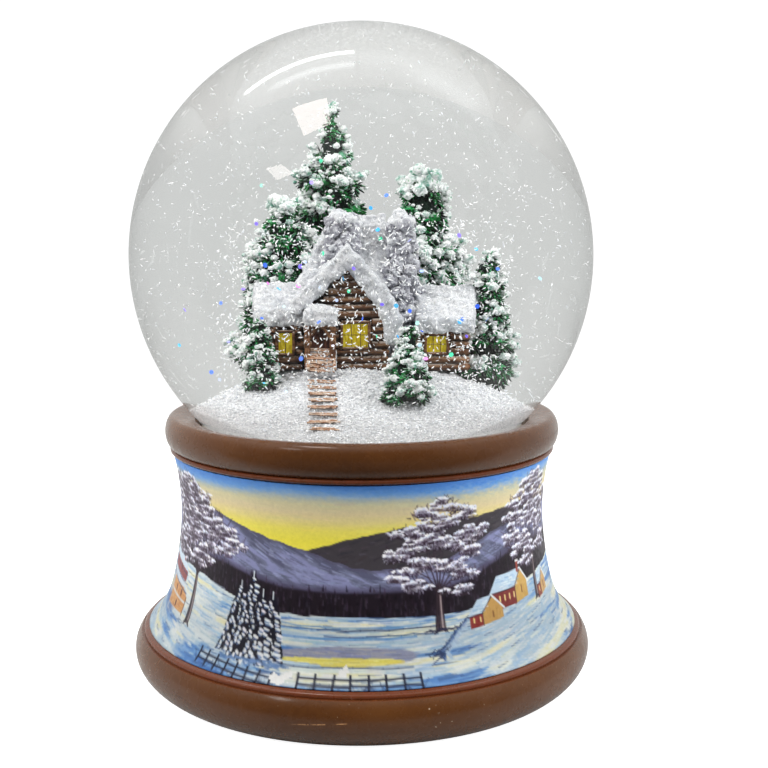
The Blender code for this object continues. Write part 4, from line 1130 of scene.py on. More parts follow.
def paint_fence(canvas, start, stop, first, last, gap):
    """Posts with two rails and a few stalks, between two angles and two heights."""
    dice = canvas.dice
    count = int(abs(stop - start) / gap)
    posts = [
        (start + (stop - start) * i / count, first + (last - first) * i / count) for i in range(count + 1)
    ]
    for rail in (-0.1, 1.05):
        for (x0, z0), (x1, z1) in zip(posts, posts[1:]):
            low, high = z0 + rail + dice.normal() * 0.08, z1 + rail + dice.normal() * 0.08
            canvas.dab(x0, low, x1, high, 0.34, (22, 28, 54), 0.95)
            canvas.dab(x0, z0 + rail + 0.26, x1, z1 + rail + 0.26, 0.16, (150, 172, 200), 0.5)
    for x, z in posts:
        canvas.dab(x, z - 0.9, x + dice.normal() * 0.15, z + 1.8, 0.46, (18, 22, 44), 0.98)
    for _ in range(count * 3):
        x, z = canvas.pick(posts)
        root, tip = x + dice.normal(), (x + dice.normal(), z + dice.uniform(-0.6, 1.2))
        canvas.dab(root, z - 0.9, *tip, 0.16, (40, 52, 84), 0.6, 0.6)


def paint_farm_on_left(canvas):
    """A barn with two snowy roofs, half hidden by the left edge of the front view."""
    dice = canvas.dice
    haze = 1 - smooth_step(canvas.ellipse(-74, 27.0, 10.0, 8.0), 0.9, 1.05)
    canvas.over(haze * 0.3, (150, 146, 166))
    canvas.polygon([(-78, 30.6), (-63.4, 28.8), (-62.6, 31.6), (-78, 34.0)], (146, 80, 82))
    canvas.polygon([(-78, 33.6), (-61.6, 31.2), (-66.0, 34.6), (-78, 36.2)], (200, 216, 230))
    canvas.dab(-66.5, 34.0, -66.5, 35.8, 1.0, (150, 70, 62))
    canvas.polygon([(-78, 27.4), (-61, 25.4), (-63.2, 28.0), (-78, 30.6)], (206, 220, 232))
    canvas.polygon([(-76, 21.0), (-61.4, 21.4), (-60.6, 25.2), (-64, 27.2), (-76, 27.8)], (218, 160, 100))
    tones = ((232, 190, 130), (190, 118, 78), (214, 150, 96))
    for _ in range(60):
        u, v = dice.uniform(-74, -62.5), dice.uniform(21.5, 26.6)
        canvas.stroke(u, v, 1.4, -0.1, 0.28, canvas.pick(tones), 6, 0.7)
    canvas.dab(-76, 24.6, -60.8, 23.9, 0.5, (216, 226, 234), 0.9)
    canvas.dab(-78, 28.6, -61.4, 26.2, 0.34, (74, 88, 128), 0.85)
    canvas.dab(-78, 32.6, -62.6, 30.6, 0.34, (70, 70, 104), 0.85)
    for x, z in ((-70.5, 25.9), (-65.4, 25.6), (-68, 22.4), (-69, 31.6)):
        canvas.dab(x, z - 0.4, x, z + 0.4, 0.9, (104, 56, 46), 0.95)
    canvas.dab(-61.5, 21.0, -61.0, 25.4, 0.3, (84, 50, 44), 0.8)


def paint_left_side(canvas):
    """The farm, the tall bare tree and the four firs on the left."""
    dice = canvas.dice
    paint_farm_on_left(canvas)
    paint_bare_trunk(canvas, -57.0, 20.4, 34.0, 2.0, 1.5)
    paint_crown(canvas, LEFT_CROWN)
    paint_fir(canvas, -35.6, 18.6, 34.0, 5.2)
    paint_fir(canvas, -25.0, 17.6, 32.6, 4.4)
    paint_fir(canvas, -31.6, 17.8, 36.6, 5.4)
    paint_fir(canvas, -28.2, 17.2, 32.8, 4.6)
    for _ in range(40):
        x = dice.uniform(-40, -20)
        start, end = 17.4 + dice.normal() * 0.35, 17.2 + dice.normal() * 0.3
        canvas.dab(x, start, x + 2.0, end, 0.36, canvas.shade((96, 132, 184), 12), 0.6)


def paint_right_side(canvas):
    """The houses and the two trees on the right."""
    dice = canvas.dice
    paint_building(canvas, 61.0, 24.8, 3.4, 3.6, 2.8, 4.6, (150, 78, 66), (210, 168, 110))
    paint_building(canvas, 38.2, 26.2, 10.4, 4.6, 3.3, 6.4, (126, 50, 48), (206, 166, 92))
    canvas.dab(50.6, 34.0, 50.6, 36.2, 0.9, (150, 70, 58))
    canvas.dab(50.2, 36.4, 51.2, 36.4, 0.5, (230, 234, 236))
    paint_building(canvas, 30.0, 23.6, 4.4, 3.3, 3.0, 7.6, (142, 50, 46), (198, 154, 86))
    paint_bare_trunk(canvas, 21.0, 24.6, 34.5, 0.6, 1.9)
    for _ in range(26):
        x = 21 + dice.normal() * 2.6
        canvas.dab(x, 24.7 + dice.normal() * 0.2, x + 1.4, 24.6, 0.3, (44, 46, 74), 0.7, 0.5)
    paint_crown(canvas, MIDDLE_CROWN)
    paint_bare_trunk(canvas, 60.5, 25.4, 38.0, 1.0, 1.4)
    paint_crown(canvas, RIGHT_CROWN)


def paint_rear(canvas):
    """More of the same round the back, which the photo doesn't show."""
    for x in (118, -132):
        paint_bare_trunk(canvas, x, 25.5, 36.0, 1.0, 1.7)
        paint_crown(canvas, [(x + off, height, wide, tall) for off, height, wide, tall in REAR_CROWN])
    paint_fir(canvas, 165, 20.6, 35.5, 5.0)
    paint_fir(canvas, 178, 20.2, 34.0, 4.8)
    paint_fir(canvas, 171, 19.6, 38.0, 5.6)
    paint_fir(canvas, -98, 21.5, 36.5, 5.0)
    paint_fir(canvas, -104, 21.0, 34.5, 4.6)
    paint_building(canvas, 140.0, 25.5, 9.0, 3.4, 2.4, 5.0, (132, 54, 50), (206, 168, 88))


def paint_band():
    """A winter dusk landscape of hills, a pond, snowy trees and small houses."""
    canvas = Canvas(11)
    paint_sky(canvas)
    paint_hills(canvas)
    paint_forest(canvas)
    paint_ground(canvas)
    paint_pond(canvas)
    paint_path(canvas)
    paint_left_side(canvas)
    paint_right_side(canvas)
    paint_rear(canvas)
    paint_fence(canvas, -45.5, -22.5, 15.7, 13.9, 3.2)
    paint_fence(canvas, -15.5, 14.0, 14.6, 14.6, 3.7)
    paint_fence(canvas, 95.0, 135.0, 17.0, 16.0, 4.0)
    paint_fence(canvas, -160.0, -110.0, 16.0, 17.0, 4.0)
    for x, height, wide, tall in (
        (-20.2, 15.1, 2.6, 1.0), (-18.4, 15.9, 1.2, 0.6), (-4.6, 16.9, 1.4, 0.8), (-4.2, 17.9, 0.6, 0.6),
    ):
        ragged = (canvas.noise(0.8, 0.7, int(height * 7), 3) - 0.5) * 1.4
        worn = canvas.ellipse(x, height, wide, tall) + ragged
        canvas.over(1 - smooth_step(worn, 0.82, 0.98), (240, 240, 238))
    grain = canvas.noise(0.7, 0.5, 61, 2, 0.7)
    # Painted shade and light: rows low on the band, which tilt up and catch more light, are darkened, and
    # the upper rows are brightened a little. The grain is a random tone.
    low = 1 - smooth_step(canvas.z, 18.0, 44.0)
    canvas.picture *= ((0.97 + 0.06 * grain) * (1.08 - 0.26 * low))[..., None]
    return np.clip(canvas.picture, 0, 255)


def picture_look():
    """Printed film: the painted colours with a fine grain and a soft sheen."""
    look = Look("picture_print_look", (0.4, 0.5, 0.6), 0.4)
    dabs = look.spread(look.noise(0.45, 3.0, 0.6), 0.3, 0.8, 0.0, 0.18)
    look.set("Base Color", look.mix(dabs, look.painted("paint"), (0.72, 0.72, 0.76), "MULTIPLY"))
    look.gloss(look.noise(1.2), 0.34, 0.5)
    look.set("Specular IOR Level", 0.3)
    look.bump(look.noise(0.22, 3.0, 0.6), 0.25, 0.03)
    look.bump(look.noise(7.0, 2.0), 0.15, 0.08)
    return look.material


def make_band():
    """The film round the waist: the picture outside and its plain brown back inside."""
    picture = linear(paint_band())
    heights = np.linspace(BAND_TOP_Z, BAND_BOTTOM_Z, BAND_ROWS + 1)
    inner_heights = np.linspace(BAND_BOTTOM_Z, BAND_TOP_Z, BAND_INNER_ROWS)
    radii = np.concatenate([waist_radius(heights), waist_radius(inner_heights) - BAND_THICKNESS])
    levels = np.concatenate([heights, inner_heights])
    angle = (np.arange(BAND_COLUMNS) / BAND_COLUMNS - 0.5) * math.tau
    points = np.empty((len(levels), BAND_COLUMNS, 3))
    points[:, :, 0] = radii[:, None] * np.sin(angle)
    points[:, :, 1] = -radii[:, None] * np.cos(angle)
    points[:, :, 2] = levels[:, None]
    index = np.arange(len(levels) * BAND_COLUMNS).reshape(-1, BAND_COLUMNS)
    below = np.roll(index, -1, axis=0)
    quads = np.stack([index, below, np.roll(below, -1, axis=1), np.roll(index, -1, axis=1)], -1)
    made = mesh_object("picture_band_print", points.reshape(-1, 3), [quads.reshape(-1, 4)], picture_look())
    colours = np.empty(points.shape)
    colours[:len(heights)] = picture
    colours[len(heights):] = srgb(96, 68, 44)
    store_colour(made, "paint", colours.reshape(-1, 3))
    settle(made, replaces=("picture_band",))


# ---------------------------------------------------------------- pedestal


def brown_paint_look():
    """Brown paint with rusty grooves, small chips low down and one scratch in front."""
    look = Look("brown_paint_look", BROWN, 0.34)
    base = look.ramp(look.noise(26.0, 3.0, 0.5), [(0.25, BROWN_DARK), (0.55, BROWN), (0.8, BROWN_LIGHT)])
    base = look.mix(look.spread(look.noise(1.6, 5.0, 0.6), 0.35, 0.75, 0.0, 0.25), base, BROWN_LIGHT)
    level = look.part("Z")
    upper = look.times(look.spread(level, 61.3, 60.9), look.spread(level, 59.0, 59.4))
    lower = look.times(look.spread(level, 12.1, 12.5), look.spread(level, 13.9, 13.6))
    rust = look.math("ADD", upper, lower, clamp=True)
    base = look.mix(look.times(rust, look.spread(look.noise(1.4), 0.25, 0.6, 0.5, 1.0)), base, RUST)
    specks = look.spread(look.noise(0.7, 2.0, 0.5), 0.71, 0.74)
    chips = look.times(specks, look.spread(look.noise(6.0, 2.0, 0.5), 0.5, 0.62))
    base = look.mix(look.times(chips, look.spread(level, 14.0, 9.0)), base, CHIP)
    slanted = look.math("SUBTRACT", level, look.times(look.part("X"), 0.07))
    line = look.math("SUBTRACT", slanted, SCRATCH_Z)
    scratch = look.spread(look.math("ABSOLUTE", line), 0.14, 0.05)
    for axis, low, high in (("X", -17.0, -13.0), ("X", -2.0, -5.0), ("Y", -40.0, -50.0)):
        scratch = look.times(scratch, look.spread(look.part(axis), low, high))
    base = look.mix(look.times(scratch, look.spread(look.noise(0.8, 3.0), 0.42, 0.58)), base, SCRATCH)
    look.set("Base Color", base)
    look.gloss(look.noise(3.0), 0.22, 0.34)
    look.set("Coat Weight", 0.5)
    look.set("Coat Roughness", 0.1)
    look.set("Specular IOR Level", 0.25)
    look.bump(look.noise(0.7, 4.0, 0.6), 0.3, 0.03)
    look.bump(look.noise(9.0, 2.0, 0.4), 0.35, 0.12)
    return look.material


def make_pedestal():
    """The casting from the globe's seat over the crest, behind the band, round the foot and inside."""
    seat = [(44.2, 67.8), (45.4, 68.2), (46.5, 68.55), (47.6, 68.86), (48.4, 69.05)]
    crest = arc((49.7, 65.05), 2.3, 4.1, 88, -80, 44)
    upper_bead = [
        (49.5, 60.95), (49.9, 61.0), (50.35, 60.92), (50.62, 60.7),
        (50.78, 60.4), (50.72, 60.1), (50.5, 59.85), (50.3, 59.75),
    ]
    levels = np.linspace(BAND_TOP_Z, BAND_BOTTOM_Z, 90)
    behind = [(float(waist_radius(z)) - 0.75, float(z)) for z in levels]
    lower_bead = [(57.9, 13.5), (58.25, 13.38), (58.5, 13.1), (58.6, 12.8), (58.56, 12.5), (58.5, 12.3)]
    foot = arc((49.55, 7.6), 11.45, 8.9, 32, -51.9, 44)
    inside = [
        (54.9, 0.6), (43.6, 0.6), (43.2, 1.0), (43.2, 15.3), (38.8, 15.3), (38.8, 20.0), (43.5, 20.0),
        (43.5, 50.0), (36.0, 50.0), (36.0, 54.0), (44.2, 54.0),
    ]
    profile = seat + crest + upper_bead + behind + lower_bead + foot + inside
    points, groups = turned_arrays(profile, 256)
    made = mesh_object("pedestal_mouldings", points, groups, brown_paint_look())
    made.data.set_sharp_from_angle(angle=math.radians(40))
    settle(made, replaces=("pedestal_casting",))


# ---------------------------------------------------------------- snow scene: shared shapes


def prism(outline, axis, start, end):
    """A closed bar with the given outline. The axis is the one that it runs along, 0 for X or 1 for Y."""
    outline = np.asarray(outline, float)
    count = len(outline)
    points = []
    for value in (start, end):
        for across, height in outline:
            points.append((value, across, height) if axis == 0 else (across, value, height))
    ring = np.arange(count)
    sides = np.stack([ring, np.roll(ring, -1), np.roll(ring, -1) + count, ring + count], 1)
    faces = {4: sides}
    caps = np.array([ring[::-1], ring + count])
    faces[count] = np.concatenate([faces[4], caps]) if count == 4 else caps
    return np.array(points), faces


def remade(heap, voxel, smooth_steps):
    """One skin round overlapping shapes: returns its points, normals and faces, in millimetres."""
    rough = heap.make("rough", [], False)
    modifier = rough.modifiers.new("skin", "REMESH")
    modifier.mode = "VOXEL"
    modifier.voxel_size = voxel * MM
    if smooth_steps:
        soft = rough.modifiers.new("soft", "SMOOTH")
        soft.factor, soft.iterations = 0.5, smooth_steps
    graph = bpy.context.evaluated_depsgraph_get()
    mesh = rough.evaluated_get(graph).to_mesh()
    points = np.empty(len(mesh.vertices) * 3)
    mesh.vertices.foreach_get("co", points)
    normals = np.empty(len(mesh.vertices) * 3)
    mesh.vertices.foreach_get("normal", normals)
    corners = np.empty(len(mesh.loops), np.int32)
    mesh.loops.foreach_get("vertex_index", corners)
    faces = corners.reshape(-1, 4)
    rough.evaluated_get(graph).to_mesh_clear()
    data = rough.data
    bpy.data.objects.remove(rough)
    bpy.data.meshes.remove(data)
    return points.reshape(-1, 3) / MM, normals.reshape(-1, 3), faces


def snow_mass(name, shapes, node, seed, voxel=0.36, lumps=0.32, smooth_steps=5):
    """A body of lying snow: soft edges, lumps and a grainy surface."""
    heap = Heap()
    for points, faces in shapes:
        heap.add(points, faces)
    points, normals, faces = remade(heap, voxel, smooth_steps)
    swell = ripple(points, 3.6, seed) * lumps + ripple(points, 1.1, seed + 1, 2) * lumps * 0.45
    points = points + normals * swell[:, None]
    made = mesh_object(name, points, [faces], LOOKS["snow"])
    return settle(made, replaces=(node,))


def rod_arrays(a, b, radius, seed, sides, rings, wobble):
    """A rough round log from a to b."""
    a, b = np.asarray(a, float), np.asarray(b, float)
    turn = frames_along((b - a)[None])[0]
    share = np.linspace(0.0, 1.0, rings)
    angle = np.linspace(0.0, math.tau, sides, endpoint=False)
    dice = np.random.default_rng(seed)
    local = np.empty((rings, sides, 3))
    bumps = 1.0 + dice.normal(size=(rings, sides)) * wobble + dice.normal(size=sides) * wobble * 0.6
    size = radius * bumps
    local[:, :, 0], local[:, :, 1] = size * np.cos(angle), size * np.sin(angle)
    local[:, :, 2] = (share * np.linalg.norm(b - a))[:, None]
    points = np.concatenate([local.reshape(-1, 3) @ turn.T + a, [a, b]])
    quads, tris = [], []
    for r in range(rings - 1):
        for s in range(sides):
            t = (s + 1) % sides
            quads.append((r * sides + s, r * sides + t, (r + 1) * sides + t, (r + 1) * sides + s))
    low, high, top = rings * sides, rings * sides + 1, (rings - 1) * sides
    for s in range(sides):
        t = (s + 1) % sides
        tris += [(low, t, s), (high, top + s, top + t)]
    return points, {4: np.array(quads, np.int32), 3: np.array(tris, np.int32)}


def block_arrays(low, high, seed=None, wobble=0.0):
    """A box, with its corners a little out of place if it wobbles."""
    (x0, y0, z0), (x1, y1, z1) = low, high
    points = np.array([(x, y, z) for z in (z0, z1) for y in (y0, y1) for x in (x0, x1)], float)
    if wobble:
        points += np.random.default_rng(seed).normal(size=points.shape) * wobble
    faces = [(0, 2, 3, 1), (4, 5, 7, 6), (0, 1, 5, 4), (2, 6, 7, 3), (0, 4, 6, 2), (1, 3, 7, 5)]
    return points, {4: np.array(faces, np.int32)}


LOOKS = {}


def snow_look():
    """Lying snow, greyer in its grain and a little shaded in patches."""
    look = Look("snow_look", SNOW_WHITE, 0.72)
    grain = look.noise(0.5, 4.0, 0.7)
    shade = look.ramp(look.noise(3.4, 3.0, 0.5), [(0.3, SNOW_SHADE), (0.62, SNOW_WHITE)])
    look.set("Base Color", look.mix(look.spread(grain, 0.34, 0.56, 0.7, 0.0), shade, SNOW_GREY))
    look.gloss(grain, 0.55, 0.85)
    look.set("Specular IOR Level", 0.35)
    look.bump(grain, 0.9, 0.22)
    look.bump(look.noise(1.6, 3.0, 0.6), 0.5, 0.35)
    return look.material


def ground_look():
    """The mound's coarse glittering snow, duller towards its rim."""
    look = Look("snow_ground_look", GROUND_WHITE, 0.78)
    grain = look.noise(0.55, 3.0, 0.75)
    tone = look.mix(look.spread(look.part("Z"), 69.0, 84.0), GROUND_RIM, GROUND_WHITE)
    look.set("Base Color", look.mix(look.spread(grain, 0.36, 0.6, 0.75, 0.0), tone, GROUND_DARK))
    look.gloss(grain, 0.5, 0.85)
    look.set("Specular IOR Level", 0.35)
    look.bump(look.spread(look.cells(0.62), 0.15, 0.55), 0.8, 0.25)
    look.bump(look.noise(1.8, 3.0, 0.6), 0.5, 0.4)
    return look.material


def log_look():
    """Brown logs: long grain, each log its own tone, with painted shade underneath and frost on top."""
    look = Look("log_look", LOG_BROWN, 0.62)
    grain = look.noise(1.0, 5.0, 0.75, vector=look.stretched((0.3, 0.3, 1.7)))
    base = look.ramp(grain, [(0.30, LOG_DARK), (0.46, LOG_BROWN), (0.60, LOG_TAN), (0.74, LOG_PALE)])
    varied = look.mix(look.spread(look.island(), 0.0, 1.0, 0.0, 0.4), base, LOG_REST)
    # Painted shade: faces that point down are darkened, to about a fifth at the undersides.
    painted_shade_below = look.mix(1.0, varied, look.upward(-0.85, 0.35, 0.22, 1.0), "MULTIPLY")
    top = look.times(look.upward(0.15, 0.85), look.spread(look.noise(0.7, 3.0), 0.42, 0.56))
    look.set("Base Color", look.mix(look.times(top, 0.85), painted_shade_below, LOG_FROST))
    look.gloss(grain, 0.42, 0.75)
    look.bump(grain, 0.9, 0.25)
    return look.material


def grained_look(name, stops, size, detail, roughness, stretch, gloss, relief):
    """A plain surface whose colour, gloss and relief all follow one grain."""
    look = Look(name, stops[1][1], 0.8)
    place = look.stretched(stretch) if stretch else look.place
    grain = look.noise(size, detail, roughness, place)
    tone = look.ramp(grain, stops)
    look.set("Base Color", tone)
    if gloss:
        look.gloss(grain, *gloss)
    look.bump(grain, *relief)
    return look, tone


def tread_look():
    """Worn pale timber, with painted shade underneath."""
    stops = [
        (0.32, srgb(112, 66, 42)), (0.45, srgb(182, 136, 104)),
        (0.56, srgb(226, 200, 178)), (0.66, srgb(244, 238, 232)),
    ]
    look, tone = grained_look("tread_look", stops, 0.9, 5.0, 0.75, (0.5, 1.2, 1.2), (0.45, 0.75), (0.9, 0.2))
    # Painted shade: faces that point down are darkened.
    look.set("Base Color", look.mix(1.0, tone, look.upward(-0.8, 0.3, 0.3, 1.0), "MULTIPLY"))
    return look.material


def gap_look():
    """The dark filling behind the logs."""
    stops = [(0.35, srgb(38, 20, 14)), (0.7, srgb(74, 44, 30))]
    return grained_look("log_gap_look", stops, 0.7, 4.0, 0.7, None, None, (0.6, 0.2))[0].material


def door_look():
    """Dark planks with an upright grain."""
    stops = [(0.35, srgb(46, 24, 18)), (0.6, srgb(88, 50, 36)), (0.8, srgb(126, 84, 62))]
    stretch = (2.2, 1.0, 0.3)
    return grained_look("door_look", stops, 0.8, 4.0, 0.65, stretch, (0.45, 0.7), (0.8, 0.2))[0].material


def lit_look():
    """Yellow window panes, streaked, with a faint painted glow: no lamp is inside them."""
    stops = [(0.32, srgb(168, 138, 8)), (0.52, srgb(206, 184, 24)), (0.72, srgb(232, 218, 84))]
    stretch = (1.6, 1.0, 0.35)
    look, tone = grained_look("window_painted_glow_look", stops, 0.8, 4.0, 0.65, stretch, (0.25, 0.5), (0.5, 0.1))
    # Painted glow: the panes give off a little light of their own, though nothing in the object lights them.
    look.set("Emission Color", tone)
    look.set("Emission Strength", 0.22)
    return look.material


def stone_look():
    """Grey stones, each its own tone, with snow lying on their tops."""
    look = Look("stone_look", STONE_REST, 0.7)
    grain = look.noise(0.9, 5.0, 0.72)
    base = look.ramp(grain, [
        (0.34, srgb(82, 81, 92)), (0.44, srgb(152, 152, 161)),
        (0.53, srgb(202, 203, 210)), (0.60, srgb(238, 239, 243)),
    ])
    varied = look.mix(look.spread(look.island(), 0.0, 1.0, 0.0, 0.5), base, STONE_REST)
    top = look.times(look.upward(0.35, 0.8), look.spread(look.noise(0.9, 3.0), 0.44, 0.52))
    look.set("Base Color", look.mix(top, varied, STONE_FROST))
    look.gloss(grain, 0.5, 0.8)
    look.bump(grain, 0.9, 0.3)
    return look.material


def needle_look():
    """Spruce needles from near black to pale green, with painted shade underneath and frost on top."""
    look = Look("needle_look", NEEDLE_DARK, 0.5)
    patch = look.noise(3.2, 3.0, 0.5)
    mixed = look.math("ADD", look.times(look.island(), 0.55), look.times(patch, 0.6))
    base = look.ramp(mixed, [
        (0.44, NEEDLE_BLACK), (0.53, NEEDLE_DARK), (0.62, NEEDLE_GREEN),
        (0.78, NEEDLE_TEAL), (0.90, NEEDLE_PALE),
    ])
    frost = look.times(look.upward(0.2, 0.8), look.spread(look.noise(0.9, 3.0), 0.50, 0.60))
    # Painted shade: needles that face down are darkened.
    shaded = look.mix(1.0, base, look.upward(-0.8, 0.4, 0.22, 1.0), "MULTIPLY")
    look.set("Base Color", look.mix(look.times(frost, 0.75), shaded, NEEDLE_FROST))
    look.gloss(look.noise(0.6, 2.0), 0.35, 0.65)
    look.bump(look.noise(0.35, 3.0, 0.6), 0.5, 0.1)
    return look.material


def frost_look():
    """The trees' snow, with green and teal in patches and in its grain, both set by noise."""
    look = Look("frost_look", FROST_WHITE, 0.7)
    grain = look.noise(0.55, 4.0, 0.7)
    patches = look.noise(1.7, 3.0, 0.6)
    tone = look.ramp(patches, [(0.32, FROST_TEAL), (0.41, FROST_SHADE), (0.5, FROST_WHITE)])
    look.set("Base Color", look.mix(look.spread(grain, 0.32, 0.46, 0.8, 0.0), tone, NEEDLE_TEAL))
    look.gloss(grain, 0.5, 0.8)
    look.set("Specular IOR Level", 0.35)
    look.bump(grain, 0.8, 0.2)
    return look.material


def core_look():
    """The dark inside of a tree."""
    stops = [(0.4, srgb(10, 18, 18)), (0.7, srgb(22, 44, 30))]
    return grained_look("spruce_core_look", stops, 1.2, 4.0, 0.7, None, None, (0.8, 0.4))[0].material


def flake_look():
    """White flakes, each a slightly different white, with a faint painted glow."""
    look = Look("flake_look", WHITE, 0.3)
    tone = look.ramp(look.island(), [(0.0, srgb(226, 230, 236)), (0.5, srgb(246, 247, 248)), (1.0, WHITE)])
    look.set("Base Color", tone)
    # Painted glow: the flakes give off a little light of their own, so they stay bright in shade.
    look.set("Emission Color", tone)
    look.set("Emission Strength", 0.22)
    look.gloss(look.noise(0.4, 2.0), 0.2, 0.5)
    look.bump(look.noise(0.3, 2.0), 0.4, 0.05)
    return look.material


def make_looks():
    """The shared materials of the snow scene."""
    for build_look in (snow_look, ground_look, log_look, tread_look, gap_look, door_look, lit_look,
                       stone_look, needle_look, frost_look, core_look, flake_look):
        LOOKS[build_look.__name__[:-len("_look")]] = build_look()


# ---------------------------------------------------------------- mound and steps


STEP_X, STEP_HALF = -8.3, 2.8
STEPS_BACK_Y, STEPS_FRONT_Y = -13.6, -30.2
STEP_COUNT, LANDING_TREADS, LANDING_Y, LANDING_RISE, LANDING_FALL = 8, 6, -12.6, 3.9, 5.0


def mound_height(x, y):
    """The top of the snow mound, in millimetres, before its small lumps."""
    reach = np.hypot(x, np.where(y < 0, 1.35 * y, y))
    return np.maximum(GROUND_Z - 0.3 - 0.068 * np.maximum(reach - 14.0, 0.0) ** 1.6, 68.3)


def lying_height(x, y):
    """The mound's top with drifts and with the worn track where the steps lie."""
    flat = np.stack([x, y, np.zeros_like(x)], -1).reshape(-1, 3)
    drift = (ripple(flat, 9.0, 301) * 0.45 + ripple(flat, 2.4, 302) * 0.22).reshape(x.shape)
    beside = np.clip((STEP_HALF + 1.3 - np.abs(x - STEP_X)) / 1.2, 0, 1)
    between = np.clip((STEPS_BACK_Y + 1 - y) / 2, 0, 1) * np.clip((y - STEPS_FRONT_Y) / 2, 0, 1)
    inland = np.clip((MOUND_RADIUS + 0.1 - np.hypot(x, y)) / 3.0, 0, 1)
    return mound_height(x, y) + drift * inland - 0.45 * beside * between


def make_mound():
    """A disc of snow with a fine grid on top, a short side and a flat underside."""
    rings, segments = 150, 420
    angle = np.linspace(0.0, math.tau, segments, endpoint=False)
    r, a = np.meshgrid(np.linspace(0.25, MOUND_RADIUS, rings), angle, indexing="ij")
    x, y = r * np.cos(a), r * np.sin(a)
    layers = [np.stack([x, y, lying_height(x, y)], -1)]
    rim = MOUND_RADIUS * np.cos(angle), MOUND_RADIUS * np.sin(angle)
    for z in (67.6, MOUND_BOTTOM_Z):
        layers.append(np.stack([*rim, np.full(segments, z)], -1)[None])
    grid = np.concatenate(layers)
    rows = len(grid)
    peak = float(lying_height(np.zeros(1), np.zeros(1))[0])
    points = np.concatenate([grid.reshape(-1, 3), [(0.0, 0.0, peak), (0.0, 0.0, MOUND_BOTTOM_Z)]])
    index = np.arange(rows * segments).reshape(rows, segments)
    after = np.roll(index, -1, axis=1)
    quads = np.stack([index[:-1], index[1:], after[1:], after[:-1]], -1).reshape(-1, 4)
    centre, under = rows * segments, rows * segments + 1
    tris = np.concatenate([
        np.stack([np.full(segments, centre), index[0], after[0]], 1),
        np.stack([np.full(segments, under), after[-1], index[-1]], 1),
    ])
    made = mesh_object("snow_mound_body", points, [quads, tris], LOOKS["ground"])
    settle(made, replaces=("snow_mound",))


def tread_places():
    """The y and z of each tread, from the door down to the front."""
    landing_top = GROUND_Z + 0.2 + LANDING_RISE
    places = [
        (LANDING_Y - 0.5 * i, landing_top - LANDING_FALL * i / LANDING_TREADS) for i in range(LANDING_TREADS)
    ]
    for i in range(STEP_COUNT):
        y = STEPS_BACK_Y - 2.4 + (STEPS_FRONT_Y - STEPS_BACK_Y + 2.4) * (i / (STEP_COUNT - 1)) ** 0.95
        places.append((y, float(mound_height(np.array([STEP_X]), np.array([y]))[0]) + 0.2))
    return places


def make_steps():
    """Timber treads laid in the snow and up to the door, each a little askew, with snow between them."""
    dice = np.random.default_rng(71)
    heap = Heap()
    treads = tread_places()
    for i, (y, z) in enumerate(treads):
        skew, tilt = dice.normal() * 0.22, dice.normal() * 0.14
        for j in range(2):
            half = STEP_HALF - 0.35 + 0.06 * i + dice.normal() * 0.28
            off = dice.normal() * 0.12
            a = (STEP_X - half, y + skew - 0.45 * j, z - 0.32 * j + tilt)
            b = (STEP_X + half + off, y - skew - 0.45 * j, z - 0.32 * j - tilt)
            heap.rod(a, b, dice.uniform(0.22, 0.32) - 0.04 * j, 700 + 7 * i + j, 9, 11, 0.2)
        for _ in range(3):
            x = STEP_X + dice.uniform(-0.9, 0.9) * STEP_HALF
            foot = (x + dice.normal() * 0.4, y - 1.0, z - 0.55)
            heap.rod((x, y - 0.2, z - 0.2), foot, 0.16, 800 + i, 7, 4, 0.2)
    for side in (-1, 1):
        upper = (STEP_X + side * 2.5, LANDING_Y + 0.6, GROUND_Z + LANDING_RISE)
        lower = (STEP_X + side * 2.7, LANDING_Y - 3.4, GROUND_Z - 0.2)
        heap.rod(upper, lower, 0.34, 790 + side, 8, 7, 0.18)
    settle(heap.make("garden_steps_timber", LOOKS["tread"]), replaces=("garden_steps",))
    bank = Heap()
    ball, faces = ball_shape(2)
    for i, (y, z) in enumerate(treads[:LANDING_TREADS + 1]):
        for x in np.linspace(-2.2, 2.2, 5):
            lump = ball * (1.0 + 0.25 * ripple(ball * 1.4 + i + x, 1.4, 720 + i)[:, None])
            bank.add(lump * (0.95, 0.9, 0.8) + (STEP_X + x, y + 0.25, z - 0.75), faces)
    settle(bank.make("garden_steps_snow", LOOKS["snow"]))


# ---------------------------------------------------------------- cabin


ROOF_THICKNESS = 2.4
LOG_PITCH, LOG_RADIUS, LOG_OVERHANG = 1.5, 0.8, 0.9
PORCH_FRONT_Y, PORCH_POSTS_X = -13.5, (-11.1, -6.0)


def without(spans, left, right):
    """The spans with the stretch from left to right taken out. Scraps are dropped."""
    cut = [part for a, b in spans for part in ((a, min(left, b)), (max(right, a), b))]
    return [(a, b) for a, b in cut if b - a > 0.5]


